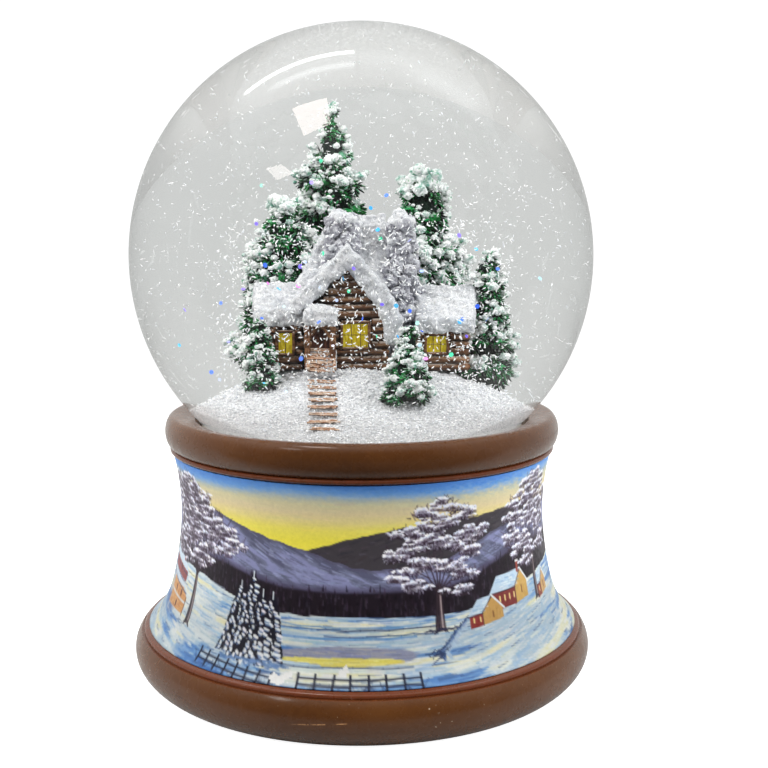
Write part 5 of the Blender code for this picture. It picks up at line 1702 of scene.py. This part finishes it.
def log_wall(heap, axis, face, start, end, seed, eave, apex=None, peak=None, holes=()):
    """Stacked logs in front of a wall. The axis is the one that they run along, 0 for X or 1 for Y.

    A gable narrows from the eave to the apex over the peak place. Holes are (from, to, low, high)
    for windows and doors.
    """
    dice = np.random.default_rng(seed)
    top = apex or eave
    for row in range(int((top - GROUND_Z) / LOG_PITCH) + 1):
        z = GROUND_Z + LOG_RADIUS * 0.6 + row * LOG_PITCH
        if z > top - 0.6:
            break
        a, b = start - LOG_OVERHANG * dice.uniform(0.2, 1.0), end + LOG_OVERHANG * dice.uniform(0.2, 1.0)
        if apex and z > eave:
            share = (apex - z) / (apex - eave)
            a, b = peak + (start - peak) * share, peak + (end - peak) * share
        spans = [(a, b)]
        for left, right, low, high in holes:
            if low < z < high:
                spans = without(spans, left, right)
        for number, (a, b) in enumerate(spans):
            depth = face + dice.normal() * 0.08
            ends = [(a, depth, z + dice.normal() * 0.06), (b, depth, z + dice.normal() * 0.06)]
            if axis == 1:
                ends = [(depth, along, height) for along, _, height in ends]
            radius = LOG_RADIUS * dice.uniform(0.88, 1.08)
            heap.rod(*ends, radius, seed * 31 + row * 5 + number, 9, max(4, int((b - a) / 1.6)), 0.09)


def make_walls():
    """Logs over the four blocks of the cabin. Each wall is the arguments of one log_wall call."""
    window, door = (-4.6, 2.0, 91.2, 97.0), (-10.6, -5.9, 87.0, 95.8)
    left_window, right_window = (-17.6, -13.2, 89.9, 95.5), (12.2, 17.7, 90.1, 94.8)
    for name, nodes, walls in (
        ("gable_wall_logs", (), (
            (0, -9.25, -10.5, 4.7, 11, 97.0, 108.6, -2.9, (window, door)),
            (1, -10.35, -8.9, -4.0, 12, 97.0),
            (1, 4.6, -8.9, -4.0, 13, 97.0),
        )),
        ("house_wall_logs", ("house_walls",), (
            (1, -10.1, -3.1, 9.1, 21, 103.0, 109.0, 3.0),
            (1, 3.6, -3.1, 9.1, 22, 102.5, 107.5, 3.0),
            (0, 9.2, -9.9, 3.8, 23, 104.5),
        )),
        ("left_wing_logs", (), (
            (0, -7.6, -19.9, -12.3, 31, 97.0, None, None, (left_window,)),
            (1, -20.1, -7.4, 2.2, 32, 97.5, 103.0, -2.6),
            (0, 2.4, -19.9, -12.3, 33, 97.0),
        )),
        ("right_wing_logs", (), (
            (0, -4.7, 11.2, 20.5, 41, 95.5, None, None, (right_window,)),
            (1, 20.7, -4.5, 6.4, 42, 95.5, 101.5, 1.0),
            (0, 6.7, 11.2, 20.5, 43, 95.5),
        )),
    ):
        heap = Heap()
        for wall in walls:
            log_wall(heap, *wall)
        settle(heap.make(name, LOOKS["log"]), nodes)
    core = Heap()
    end_wall = [(-3.0, GROUND_Z), (9.0, GROUND_Z), (9.0, 103.4), (3.0, 108.6), (-3.0, 103.4)]
    core.add(*prism(end_wall, 0, -9.9, 3.8))
    points, _, faces = remade(core, 0.6, 0)
    points = points + (ripple(points, 1.5, 24) * 0.08)[:, None]
    settle(mesh_object("house_wall_core", points, [faces], LOOKS["gap"]))
    for node in ("gable_walls", "left_wing_walls", "right_wing_walls"):
        wear(node, LOOKS["gap"])


def make_pane(node, low, high, face, seed):
    """A slightly wavy yellow pane with a painted glow, closed all round."""
    (x0, z0), (x1, z1) = low, high
    columns, rows = 26, 22
    u, v = np.meshgrid(np.linspace(0, 1, columns), np.linspace(0, 1, rows), indexing="ij")
    x, z = x0 + (x1 - x0) * u, z0 + (z1 - z0) * v
    sheets = []
    for y in (face + 0.35, face - 0.05):
        flat = np.stack([x, np.full_like(x, y), z], -1).reshape(-1, 3)
        flat[:, 1] += ripple(flat, 1.4, seed) * 0.06
        sheets.append(flat)
    quads, index = sheet_quads(columns, rows)
    total = columns * rows
    rim = np.concatenate([index[:-1, 0], index[-1, :-1], index[:0:-1, -1], index[0, :0:-1]])
    edge = np.stack([rim, np.roll(rim, -1), np.roll(rim, -1) + total, rim + total], 1)
    faces = np.concatenate([quads[:, ::-1], quads + total, edge])
    settle(mesh_object(node + "_pane", np.concatenate(sheets), [faces], LOOKS["lit"]), (node,))


def make_window(node, low, high, face, upright_bars, level_bar, seed, arched):
    """A yellow pane with a painted glow, a timber frame round it, thin glazing bars and perhaps an arch over
    it.

    Upright bars are shares of the width, and the level bar, if any, is a share of the height.
    """
    make_pane(node, low, high, face, seed)
    (x0, z0), (x1, z1) = low, high
    heap = Heap()
    lip, inset = face - 0.25, face - 0.06
    corners = [(x0, z0), (x1, z0), (x1, z1), (x0, z1)]
    for i in range(4):
        (ax, az), (bx, bz) = corners[i], corners[(i + 1) % 4]
        heap.rod((ax, lip, az), (bx, lip, bz), 0.34, seed + i, 8, 6, 0.10)
    if arched:
        spots = []
        for i in range(9):
            a = math.pi * i / 8
            across = (x0 + x1) / 2 + (x1 - x0) * 0.72 * math.cos(a)
            spots.append((across, lip - 0.1, z1 - 0.4 + 1.9 * math.sin(a)))
        for i in range(1, 9):
            heap.rod(spots[i - 1], spots[i], 0.55, seed + 20 + i, 8, 4, 0.1)
    for share in upright_bars:
        x = x0 + (x1 - x0) * share
        heap.rod((x, inset, z0), (x, inset, z1), 0.07, seed + 10, 6, 5, 0.1)
    if level_bar:
        z = z0 + (z1 - z0) * level_bar
        heap.rod((x0, inset, z), (x1, inset, z), 0.07, seed + 11, 6, 5, 0.1)
    settle(heap.make(node + "_frame", LOOKS["log"]))


def make_windows():
    make_window("front_window", (-4.1, 91.5), (1.5, 96.9), -9.7, (0.36, 0.68), 0.52, 501, False)
    make_window("left_window", (-17.1, 90.3), (-13.7, 95.0), -8.2, (0.5,), None, 541, True)
    make_window("right_window", (12.7, 90.5), (17.2, 94.3), -5.3, (0.35, 0.68), 0.5, 581, True)


def make_door():
    """Five planks with two ledges and a handle."""
    planks = Heap()
    for i in range(5):
        x = -10.1 + i * 0.78
        low, high = (x, -9.95, 87.5), (x + 0.72, -9.25, 95.1 - 0.1 * abs(i - 2))
        planks.add(*block_arrays(low, high, 590 + i, 0.03))
    for z in (89.0, 93.4):
        planks.add(*block_arrays((-10.1, -10.15, z), (-6.3, -9.9, z + 0.6), 599, 0.03))
    planks.rod((-7.0, -10.1, 91.4), (-7.0, -10.7, 91.4), 0.24, 600, 10, 4, 0.03)
    made = planks.make("cabin_door_planks", LOOKS["door"], False)
    settle(made, replaces=("cabin_door",))


def make_porch():
    """Two posts with a beam and a brace each, then the head beam and the rails at the sides."""
    front = PORCH_FRONT_Y
    for number, x in enumerate(PORCH_POSTS_X, 1):
        heap = Heap()
        inwards = 2.0 if number == 1 else -2.0
        heap.rod((x, front, 86.8), (x, front, 96.4), 0.62, 610 + number, 10, 14, 0.10)
        heap.rod((x, front, 95.6), (x, -10.2, 95.8), 0.5, 613 + number, 9, 6, 0.10)
        heap.rod((x - 0.2, front, 93.4), (x + inwards, front, 95.9), 0.4, 616 + number, 8, 5, 0.1)
        name = f"porch_post_{number}"
        settle(heap.make(name + "_timber", LOOKS["log"]), replaces=(name,))
    rails = Heap()
    rails.rod((-11.4, front, 95.9), (-5.7, front, 95.9), 0.5, 621, 9, 10, 0.1)
    for x in PORCH_POSTS_X:
        rails.rod((x, front + 0.1, 89.9), (x, -10.0, 90.0), 0.3, 622, 8, 5, 0.1)
        for y in (-12.4, -11.2):
            rails.rod((x, y, 87.2), (x, y, 90.0), 0.24, 623, 7, 5, 0.1)
    settle(rails.make("porch_rails", LOOKS["log"]))


def gabled_slab(centre, ridge, slope, low_reach, high_reach, start, end):
    """An inverted V of roof along X, from its outer ridge height and its reach to each side."""
    down = ROOF_THICKNESS * math.hypot(1.0, slope)
    crest, under_crest = (centre, ridge), (centre, ridge - down)
    halves = []
    for reach in (-low_reach, high_reach):
        edge = ridge - slope * abs(reach)
        eave, under_eave = (centre + reach, edge), (centre + reach, edge - down * 0.8)
        outline = [crest, eave, under_eave, under_crest]
        if reach < 0:
            outline = [crest, under_crest, under_eave, eave]
        halves.append(prism(outline, 0, start, end))
    return halves


def hip_solid(low, high, z, ridge_start, ridge_end, y, top):
    """A hipped roof over the rectangle from low to high, with its ridge along X."""
    (x0, y0), (x1, y1) = low, high
    points = [
        (x0, y0, z), (x1, y0, z), (x1, y1, z), (x0, y1, z), (ridge_start, y, top), (ridge_end, y, top),
    ]
    quads, tris = [(0, 3, 2, 1), (0, 1, 5, 4), (2, 3, 4, 5)], [(1, 2, 5), (3, 0, 4)]
    return np.array(points, float), {4: np.array(quads), 3: np.array(tris)}


def make_roofs():
    """Thick snow in place of each roof, bulging over the eaves."""
    house = [hip_solid((-13.8, -4.2), (5.4, 10.2), 103.0, -5.2, 4.6, 3.0, 118.2)]
    snow_mass("house_roof_snow", house, "house_roof", 401, lumps=0.42, smooth_steps=3)
    gable = [prism(outline, 1, -11.8, -1.5) for outline in (
        [(-2.9, 112.4), (-2.9, 107.6), (-12.8, 98.4), (-14.6, 98.8), (-14.2, 101.0)],
        [(-2.9, 112.4), (5.4, 103.0), (2.3, 101.0), (-2.9, 107.6)],
        [(5.4, 103.0), (8.0, 97.6), (8.1, 92.8), (4.9, 92.2), (4.0, 97.2), (2.3, 101.0)],
    )]
    snow_mass("gable_roof_snow", gable, "gable_roof", 411, lumps=0.36)
    left = gabled_slab(-2.6, 104.9, 1.0, 6.6, 5.6, -21.4, -11.4)
    left.append(prism([(-9.3, 97.4), (-6.2, 96.8), (-5.0, 99.8), (-8.6, 99.6)], 0, -21.0, -12.0))
    snow_mass("left_wing_roof_snow", left, "left_wing_roof", 421)
    right = gabled_slab(1.0, 104.2, 0.94, 7.6, 6.4, 10.8, 22.6)
    right.append(prism([(-7.0, 95.4), (-5.0, 96.2), (-4.4, 98.6), (-7.0, 97.6)], 0, 11.4, 22.2))
    snow_mass("right_wing_roof_snow", right, "right_wing_roof", 431)
    porch = [
        block_arrays((-11.8, -14.6, 96.2), (-5.1, -10.4, 99.6)),
        block_arrays((-10.9, -13.9, 98.8), (-6.0, -10.4, 100.4)),
    ]
    snow_mass("porch_roof_snow", porch, "porch_roof", 441, lumps=0.4)


def boulder(radii, seed):
    """A rough stone with three radii."""
    points, faces = ball_shape(3)
    points = points * (1.0 + 0.3 * ripple(points * 1.4, 1.6, seed)[:, None])
    return points * np.asarray(radii), faces


def stone_stack(heap, low, high, taper, seed, pitch):
    """Rough stones in courses round a rectangular stack."""
    dice = np.random.default_rng(seed)
    (x0, y0, z0), (x1, y1, z1) = low, high
    heap.add(*block_arrays((x0 + 0.7, y0 + 0.7, z0), (x1 - 0.7, y1 - 0.7, z1)))
    rows = int((z1 - z0) / pitch)
    for row in range(rows + 1):
        z = z0 + pitch * (row + 0.5)
        shrink = taper * row / max(rows, 1)
        left, right, front, back = x0 + shrink, x1 - shrink, y0 + shrink * 0.6, y1 - shrink * 0.6
        corners = [(left, front), (right, front), (right, back), (left, back), (left, front)]
        for (ax, ay), (bx, by) in zip(corners, corners[1:]):
            count = max(1, int(round(math.hypot(bx - ax, by - ay) / 2.9)))
            for i in range(count):
                share = (i + 0.5 + 0.34 * (row % 2) - 0.17) / count
                middle = np.array([ax + (bx - ax) * share, ay + (by - ay) * share, z])
                spot = middle + dice.normal(size=3) * (0.3, 0.16, 0.34)
                wide, deep = 1.42 * dice.uniform(0.7, 1.25), 1.2 * dice.uniform(0.85, 1.1)
                tall = 1.2 * dice.uniform(0.75, 1.25)
                points, faces = boulder((wide, deep, tall), seed * 50 + row * 17 + i)
                turn = Matrix.Rotation(dice.uniform(-0.4, 0.4), 3, "Z")
                heap.add(points @ np.array(turn).T + spot, faces)


def snow_cap(name, lumps, seed):
    """Rounded lying snow made from a few overlapping ellipsoids, each a centre and three radii."""
    heap = Heap()
    ball, faces = ball_shape(3)
    for centre, radii in lumps:
        heap.add(ball * radii + centre, faces)
    points, normals, quads = remade(heap, 0.28, 2)
    points = points + normals * (ripple(points, 1.5, seed) * 0.28)[:, None]
    settle(mesh_object(name, points, [quads], LOOKS["snow"]))


def make_chimneys():
    """The tall chimney in two stacks and the small one on the roof, each with snow on it."""
    tall_snow = [
        ((7.8, -0.9, 116.4), (2.8, 2.4, 1.5)), ((7.5, -0.9, 117.6), (1.6, 1.5, 1.5)),
        ((6.0, -2.6, 112.6), (1.0, 0.8, 0.6)), ((9.3, -2.7, 107.4), (1.1, 0.8, 0.6)),
        ((7.2, -3.5, 103.0), (1.2, 0.7, 0.5)), ((9.6, -3.1, 99.4), (1.3, 0.9, 0.8)),
    ]
    small_snow = [
        ((-3.9, -2.4, 117.0), (3.0, 2.6, 1.5)), ((-4.6, -2.4, 117.9), (1.9, 1.8, 1.2)),
        ((-5.8, -4.0, 111.6), (1.1, 0.7, 0.6)), ((-2.4, -4.2, 113.8), (0.9, 0.6, 0.5)),
    ]
    tall_stacks = [
        ((4.9, -3.3, GROUND_Z), (10.4, 1.4, 99.0), 0.1, 61, 2.35),
        ((5.2, -3.1, 99.0), (10.3, 1.2, 115.6), 0.7, 62, 2.3),
    ]
    small_stacks = [((-6.1, -4.2, 107.5), (-2.0, -0.6, 116.2), 0.1, 64, 1.7)]
    for node, stacks, snow, seed in (
        ("stone_chimney", tall_stacks, tall_snow, 63), ("roof_chimney", small_stacks, small_snow, 65),
    ):
        heap = Heap()
        for stack in stacks:
            stone_stack(heap, *stack)
        settle(heap.make(node + "_stones", LOOKS["stone"]), replaces=(node,))
        snow_cap(node + "_snow", snow, seed)


# ---------------------------------------------------------------- trees


SKIRT_START, BARE_SHARE = 0.06, 0.30

# Each spruce: name, x, y, top, base, radius, tier height, seed, lean, belly and size of its cap.
SPRUCES = (
    ("spruce_tall", -5.5, 17.0, 137.4, 88.0, 12.8, 3.6, 801, (-0.1, -1.0), 0.74, 1.3),
    ("spruce_rear_left", -15.6, 9.0, 120.5, 86.6, 8.9, 3.3, 811, (0.6, 0.0), 0.44, 2.2),
    ("spruce_rear_right", 12.0, 14.0, 125.2, 87.6, 8.8, 3.5, 821, (-0.6, 0.0), 0.40, 3.0),
    ("spruce_far_right", 24.2, 1.5, 111.0, 84.4, 5.4, 2.7, 831, (1.1, 0.0), 0.62, 0.0),
    ("spruce_front_left", -20.5, -12.4, 97.4, 82.6, 3.5, 2.4, 841, (0.0, 0.0), 0.5, 0.0),
    ("spruce_front_right_1", 9.6, -15.4, 95.8, 84.4, 3.9, 2.3, 851, (0.0, 0.0), 0.6, 0.0),
    ("spruce_front_right_2", 9.3, -22.0, 92.8, 80.2, 5.2, 2.3, 861, (0.0, 0.0), 0.6, 0.0),
)


def branch_ends(dice, x, y, base, height, radius, tier, lean, belly):
    """Where the branches end, which way each points and its size, in tiers from the bottom up."""
    tiers = max(4, int(round(height / tier)))
    ends, outs, sizes = [], [], []
    for k in range(tiers):
        share = (k + 0.5) / tiers
        z = base + height * (SKIRT_START + (1 - SKIRT_START) * share) - tier * 0.3
        reach = radius * (1 - share) ** belly * dice.uniform(0.86, 1.1) + 0.25
        size = 0.30 * reach + 0.62 * min(tier, 3.2) * 0.55
        ring = max(1, int(round(math.tau * reach * 0.72 / (size * 1.25))))
        shift = dice.uniform(0, math.tau)
        cx, cy = x + lean[0] * share, y + lean[1] * share
        for i in range(ring):
            a = shift + math.tau * (i + dice.uniform(-0.25, 0.25)) / ring
            far = max(reach - size * 0.8, 0.0) * dice.uniform(0.82, 1.14)
            drop = float(np.clip(dice.normal(), -1.6, 1.6)) * 0.36 * tier
            ends.append((cx + far * math.cos(a), cy + far * math.sin(a), z + drop))
            outs.append((math.cos(a), math.sin(a), 0.0))
            sizes.append(size * dice.uniform(0.8, 1.22))
    return np.array(ends), np.array(outs), np.array(sizes)


def spruce_core(x, y, base, height, radius, seed, lean, belly):
    """The dark body of a tree, which shows between its branches."""
    profile = [(0.0, base + height - 2.2)]
    for share in np.linspace(0.90, 0.0, 16):
        profile.append((max(0.3, 0.60 * radius * (1 - share) ** belly), base + height * share))
    profile.append((0.0, base + 0.01))
    points, groups = turned_arrays(profile, 28)
    points = points + ripple(points, 3.0, seed + 5)[:, None] * np.array([0.5, 0.5, 0.3])
    level = np.clip((points[:, 2] - base) / height, 0, 1)
    points[:, 0] += x + lean[0] * level
    points[:, 1] += y + lean[1] * level
    return points, groups


def spruce_needles(dice, branches):
    """Short drooping needles all round each branch end."""
    needles, shape = Heap(), spindle_shape()
    ball, faces = ball_shape(1)
    for spot, out, size in zip(*branches):
        count = int(9 + 17 * size)
        outward = dice.normal(size=(count, 3)) + out * 0.75
        outward[:, 2] = outward[:, 2] * 0.8 - 0.15
        outward /= np.linalg.norm(outward, axis=1, keepdims=True)
        starts = spot + outward * size * np.array([0.55, 0.55, 0.42])
        heading = outward + np.array([0, 0, -0.45]) + dice.normal(size=(count, 3)) * 0.3
        length = dice.uniform(0.65, 1.25, count) * (0.55 + 0.32 * size)
        thick = dice.uniform(0.2, 0.34, count)
        scales = np.stack([thick, thick * 0.75, length], 1)
        needles.add_copies(*shape, frames_along(heading) * scales[:, None, :], starts)
        needles.add(ball * (size * 0.62, size * 0.62, size * 0.46) + spot, faces)
    return needles


def spruce_snow(dice, branches, crown, cap, seed):
    """Lumps of snow on most branch ends, and more of them round the crown if there is a cap."""
    snow, balls = Heap(), (ball_shape(1), ball_shape(2))
    for number, (spot, out, size) in enumerate(zip(*branches)):
        if dice.random() < BARE_SHARE:
            continue
        for _ in range(int(3.9 + 3.3 * size)):
            offset = np.clip(dice.normal(size=3), -1.5, 1.5) * np.array([0.48, 0.48, 0.36]) * size
            centre = spot + offset + np.array([0, 0, 0.42 * size]) + out * 0.34 * size
            big = (0.14 + 0.46 * dice.random() ** 1.4) * (0.6 + 0.4 * size)
            ball, faces = balls[int(big > 0.5)]
            lump = ball * (1.0 + 0.34 * ripple(ball * 1.5 + number, 1.3, seed + number % 7)[:, None])
            turn = np.array(Matrix.Rotation(dice.uniform(0, 3.1), 3, "Z"))
            snow.add((lump * (big * 1.2, big * 1.1, big * 0.85)) @ turn.T + centre, faces)
    ball, faces = balls[1]
    for k in range(int(9 * cap)):
        spot = dice.normal(size=3) * (0.5 * cap, 0.5 * cap, 0.34 * cap) + crown
        lump = ball * (1.0 + 0.3 * ripple(ball * 1.5 + k, 1.3, seed + k)[:, None])
        snow.add(lump * cap * dice.uniform(0.3, 0.5) + spot, faces)
    return snow


def make_spruce(node, x, y, top, base, radius, tier, seed, lean, belly, cap):
    """A moulded spruce: tiers of drooping branch ends of short needles, with snow lying on them."""
    dice = np.random.default_rng(seed)
    height = top - base
    branches = branch_ends(dice, x, y, base, height, radius, tier, lean, belly)
    core = spruce_core(x, y, base, height, radius, seed, lean, belly)
    settle(mesh_object(node + "_core", *core, LOOKS["core"]), replaces=(node,))
    needles = spruce_needles(dice, branches)
    settle(needles.make(node + "_needles", LOOKS["needle"]))
    crown = (x + lean[0], y + lean[1], top - 0.5 * cap)
    snow = spruce_snow(dice, branches, crown, cap, seed)
    settle(snow.make(node + "_snow", LOOKS["frost"]))


def make_trees():
    for spruce in SPRUCES:
        make_spruce(*spruce)


# ---------------------------------------------------------------- underside and movement


def part_look(name, tones, rough, metallic, size, stretch, relief):
    """A made part's surface: mottled colour, uneven gloss, fine relief and a little dirt."""
    tones = [srgb(*tone) for tone in tones]
    look = Look(name, tones[1], rough[0], metallic)
    grain = look.noise(size, 5.0, 0.65, vector=look.stretched(stretch))
    patches = look.noise(size * 7.0, 3.0, 0.5)
    tone = look.ramp(grain, [(0.32, tones[0]), (0.5, tones[1]), (0.7, tones[2])])
    look.set("Base Color", look.mix(look.spread(patches, 0.4, 0.66, 0.0, 0.45), tone, tones[0]))
    both = look.times(look.math("ADD", grain, patches), 0.5)
    look.set("Roughness", look.spread(both, 0.38, 0.62, *rough))
    look.bump(grain, *relief)
    return look.material


def make_made_parts():
    """The base board and the music movement keep their CAD shapes and get real surfaces."""
    even = (1.0, 1.0, 1.0)
    pads = [f"felt_pad_{i}" for i in (1, 2, 3)]
    steel = ["sound_comb", "mainspring", "winding_arbor", "cylinder_arbor", "cylinder_pinion"]
    steel += ["governor_shaft", "governor_pinion"]
    for kind, count in (("cover", 3), ("movement", 2), ("comb", 2)):
        steel += [f"{kind}_screw_{i + 1}" for i in range(count)]
    zinc = ["movement_bedplate", "spring_barrel", "governor_bracket"]
    zinc += ["cylinder_bracket_1", "cylinder_bracket_2"]
    brass = ["note_cylinder", "cylinder_wheel", "drive_wheel", "governor_fan", "winding_key"]
    for name, tones, rough, metallic, size, stretch, relief, nodes in (
        ("black_board_look", ((18, 17, 16), (34, 32, 30), (62, 58, 53)), (0.6, 0.85), 0.0, 0.8,
         (1.0, 0.25, 1.0), (0.6, 0.08), ["bottom_cover"]),
        ("felt_look", ((36, 32, 28), (62, 56, 50), (96, 88, 80)), (0.9, 1.0), 0.0, 0.35,
         (1.0, 1.0, 0.5), (1.0, 0.3), pads),
        ("bright_steel_look", ((120, 122, 126), (176, 178, 182), (206, 207, 210)), (0.18, 0.4), 1.0, 0.5,
         (1.0, 1.0, 0.15), (0.3, 0.02), steel),
        ("cast_zinc_look", ((110, 112, 116), (150, 152, 156), (180, 182, 186)), (0.35, 0.6), 0.9, 0.6,
         even, (0.7, 0.08), zinc),
        ("brass_look", ((138, 98, 40), (196, 152, 72), (222, 186, 106)), (0.16, 0.42), 1.0, 0.7,
         (1.0, 1.0, 0.3), (0.35, 0.03), brass),
        ("white_rubber_look", ((160, 154, 142), (196, 190, 178), (214, 209, 198)), (0.7, 0.9), 0.0, 0.9,
         even, (0.5, 0.06), ["globe_stopper", "sealant_ring"]),
    ):
        material = part_look(name, tones, rough, metallic, size, stretch, relief)
        for node in nodes:
            wear(node, material)


# ---------------------------------------------------------------- flakes and glitter


def inside_liquid(points):
    """Which places lie in open liquid: in the ball, above the mound and clear of the cabin."""
    x, y, z = points.T
    in_ball = np.linalg.norm(points - (0.0, 0.0, GLOBE_CENTRE_Z), axis=1) < GLOBE_RADIUS - GLASS_WALL - 2.2
    above = z > mound_height(x, y) + 0.8
    blocked = (np.abs(x + 3.0) < 8.5) & (y > -10.6) & (y < 10) & (z < 118)
    blocked |= (x > -22) & (x < 22.6) & (y > -7.5) & (y < 8.5) & (z < 104.5)
    return in_ball & above & ~blocked


def rice(dice, count, length, thick):
    """Scales for flakes shaped like grains of rice: a thickness each way and a length."""
    thin = dice.uniform(*thick, count)
    return np.stack([thin, thin * 0.75, dice.uniform(*length, count)], 1)[:, None, :]


FLAKES_FLOATING, FLAKES_NEAR, FLAKES_SETTLED = 3000, 1500, 8500

# Glitter: name, display colour and how many pieces of it.
GLITTER = (
    ("blue", (60, 110, 255), 18), ("sky", (70, 180, 250), 14), ("violet", (130, 110, 250), 12),
    ("green", (60, 210, 160), 9), ("rose", (230, 130, 220), 4),
)


def floating_flakes(dice):
    """Flakes all through the liquid, fewer near the top, and larger ones in front of the cabin."""
    shape = spindle_shape()
    tries = dice.uniform(-52.0, 52.0, size=(16000, 3)) + (0.0, 0.0, GLOBE_CENTRE_Z)
    reach = np.linalg.norm(tries - (0.0, 0.0, GLOBE_CENTRE_Z), axis=1)
    share = np.clip((tries[:, 2] - 80.0) / 65.0, 0.0, 1.0)
    keep = (reach < 51.0 - 5.5 * share) & inside_liquid(tries) & (dice.random(len(tries)) > 0.5 * share)
    spots = tries[keep][:FLAKES_FLOATING]
    heap = Heap()
    turns = random_turns(dice, len(spots)) * rice(dice, len(spots), (0.35, 0.85), (0.08, 0.14))
    heap.add_copies(*shape, turns, spots)
    across, deep = dice.uniform(-30, 31, 9000), dice.uniform(-30.0, -8.0, 9000)
    near = np.stack([across, deep, dice.uniform(76.0, 118.0, 9000)], 1)
    near = near[inside_liquid(near)][:FLAKES_NEAR]
    turns = random_turns(dice, len(near)) * rice(dice, len(near), (0.5, 1.15), (0.13, 0.22))
    heap.add_copies(*shape, turns, near)
    return heap


def settled_flakes(dice):
    """Flakes lying on the mound, but not under the house."""
    radius = (MOUND_RADIUS - 0.4) * np.sqrt(dice.random(FLAKES_SETTLED))
    angle = dice.uniform(0, math.tau, FLAKES_SETTLED)
    x, y = radius * np.cos(angle), radius * np.sin(angle)
    house = (x > -20.5) & (x < 21.0) & (y > -9.5) & (y < 9.0)
    x, y = x[~house], y[~house]
    z = lying_height(x, y) + dice.uniform(-0.05, 0.3, len(x))
    along = dice.normal(size=(len(x), 3)) * (1, 1, 0.35)
    heap = Heap()
    turns = frames_along(along) * rice(dice, len(x), (0.45, 0.95), (0.12, 0.22))
    heap.add_copies(*spindle_shape(), turns, np.stack([x, y, z], 1))
    return heap


def make_flakes():
    dice = np.random.default_rng(901)
    settle(floating_flakes(dice).make("floating_flakes", LOOKS["flake"]))
    settle(settled_flakes(dice).make("settled_flakes", LOOKS["flake"]))


def glitter_look(name, colour):
    """Coloured foil, each piece its own tone, with a painted glow that stands in for the glints it catches.
    """
    look = Look(f"glitter_{name}_look", colour, 0.2, 0.3)
    lighter = tuple(min(1.0, c * 1.3 + 0.05) for c in colour)
    tone = look.ramp(look.island(), [(0.0, colour), (0.6, lighter), (1.0, (0.8, 0.9, 1.0))])
    look.set("Base Color", tone)
    # Painted glow: the foil gives off light of its own in place of real glints.
    look.set("Emission Color", tone)
    look.set("Emission Strength", 0.55)
    look.gloss(look.noise(0.5, 2.0), 0.12, 0.3)
    look.bump(look.noise(0.4, 2.0), 0.3, 0.04)
    return look.material


def make_glitter():
    """Small hexagons floating about the cabin, most of them turned towards the front."""
    dice = np.random.default_rng(951)
    for name, colour, count in GLITTER:
        tries = dice.normal(size=(900, 3)) * (17.0, 8.0, 14.0) + (0.0, -14.0, 101.0)
        clear = inside_liquid(tries) & (np.abs(tries[:, 0]) < 45) & (tries[:, 2] < 138)
        spots = tries[clear][:count]
        size = dice.uniform(0.34, 0.56, len(spots))
        facing = dice.normal(size=(len(spots), 3)) * 0.7 + (0.0, -1.0, 0.2)
        scales = np.stack([size, size, np.full(len(spots), 0.04)], 1)
        heap = Heap()
        heap.add_copies(*plate_shape(), frames_along(facing) * scales[:, None, :], spots)
        look = glitter_look(name, srgb(*colour))
        settle(heap.make(f"glitter_{name}", look, False))


def build():
    make_camera()
    make_studio()
    make_looks()
    make_pedestal()
    make_band()
    make_globe()
    make_liquid()
    make_mound()
    make_steps()
    make_walls()
    make_windows()
    make_door()
    make_porch()
    make_roofs()
    make_chimneys()
    make_trees()
    make_made_parts()
    make_flakes()
    make_glitter()


build()
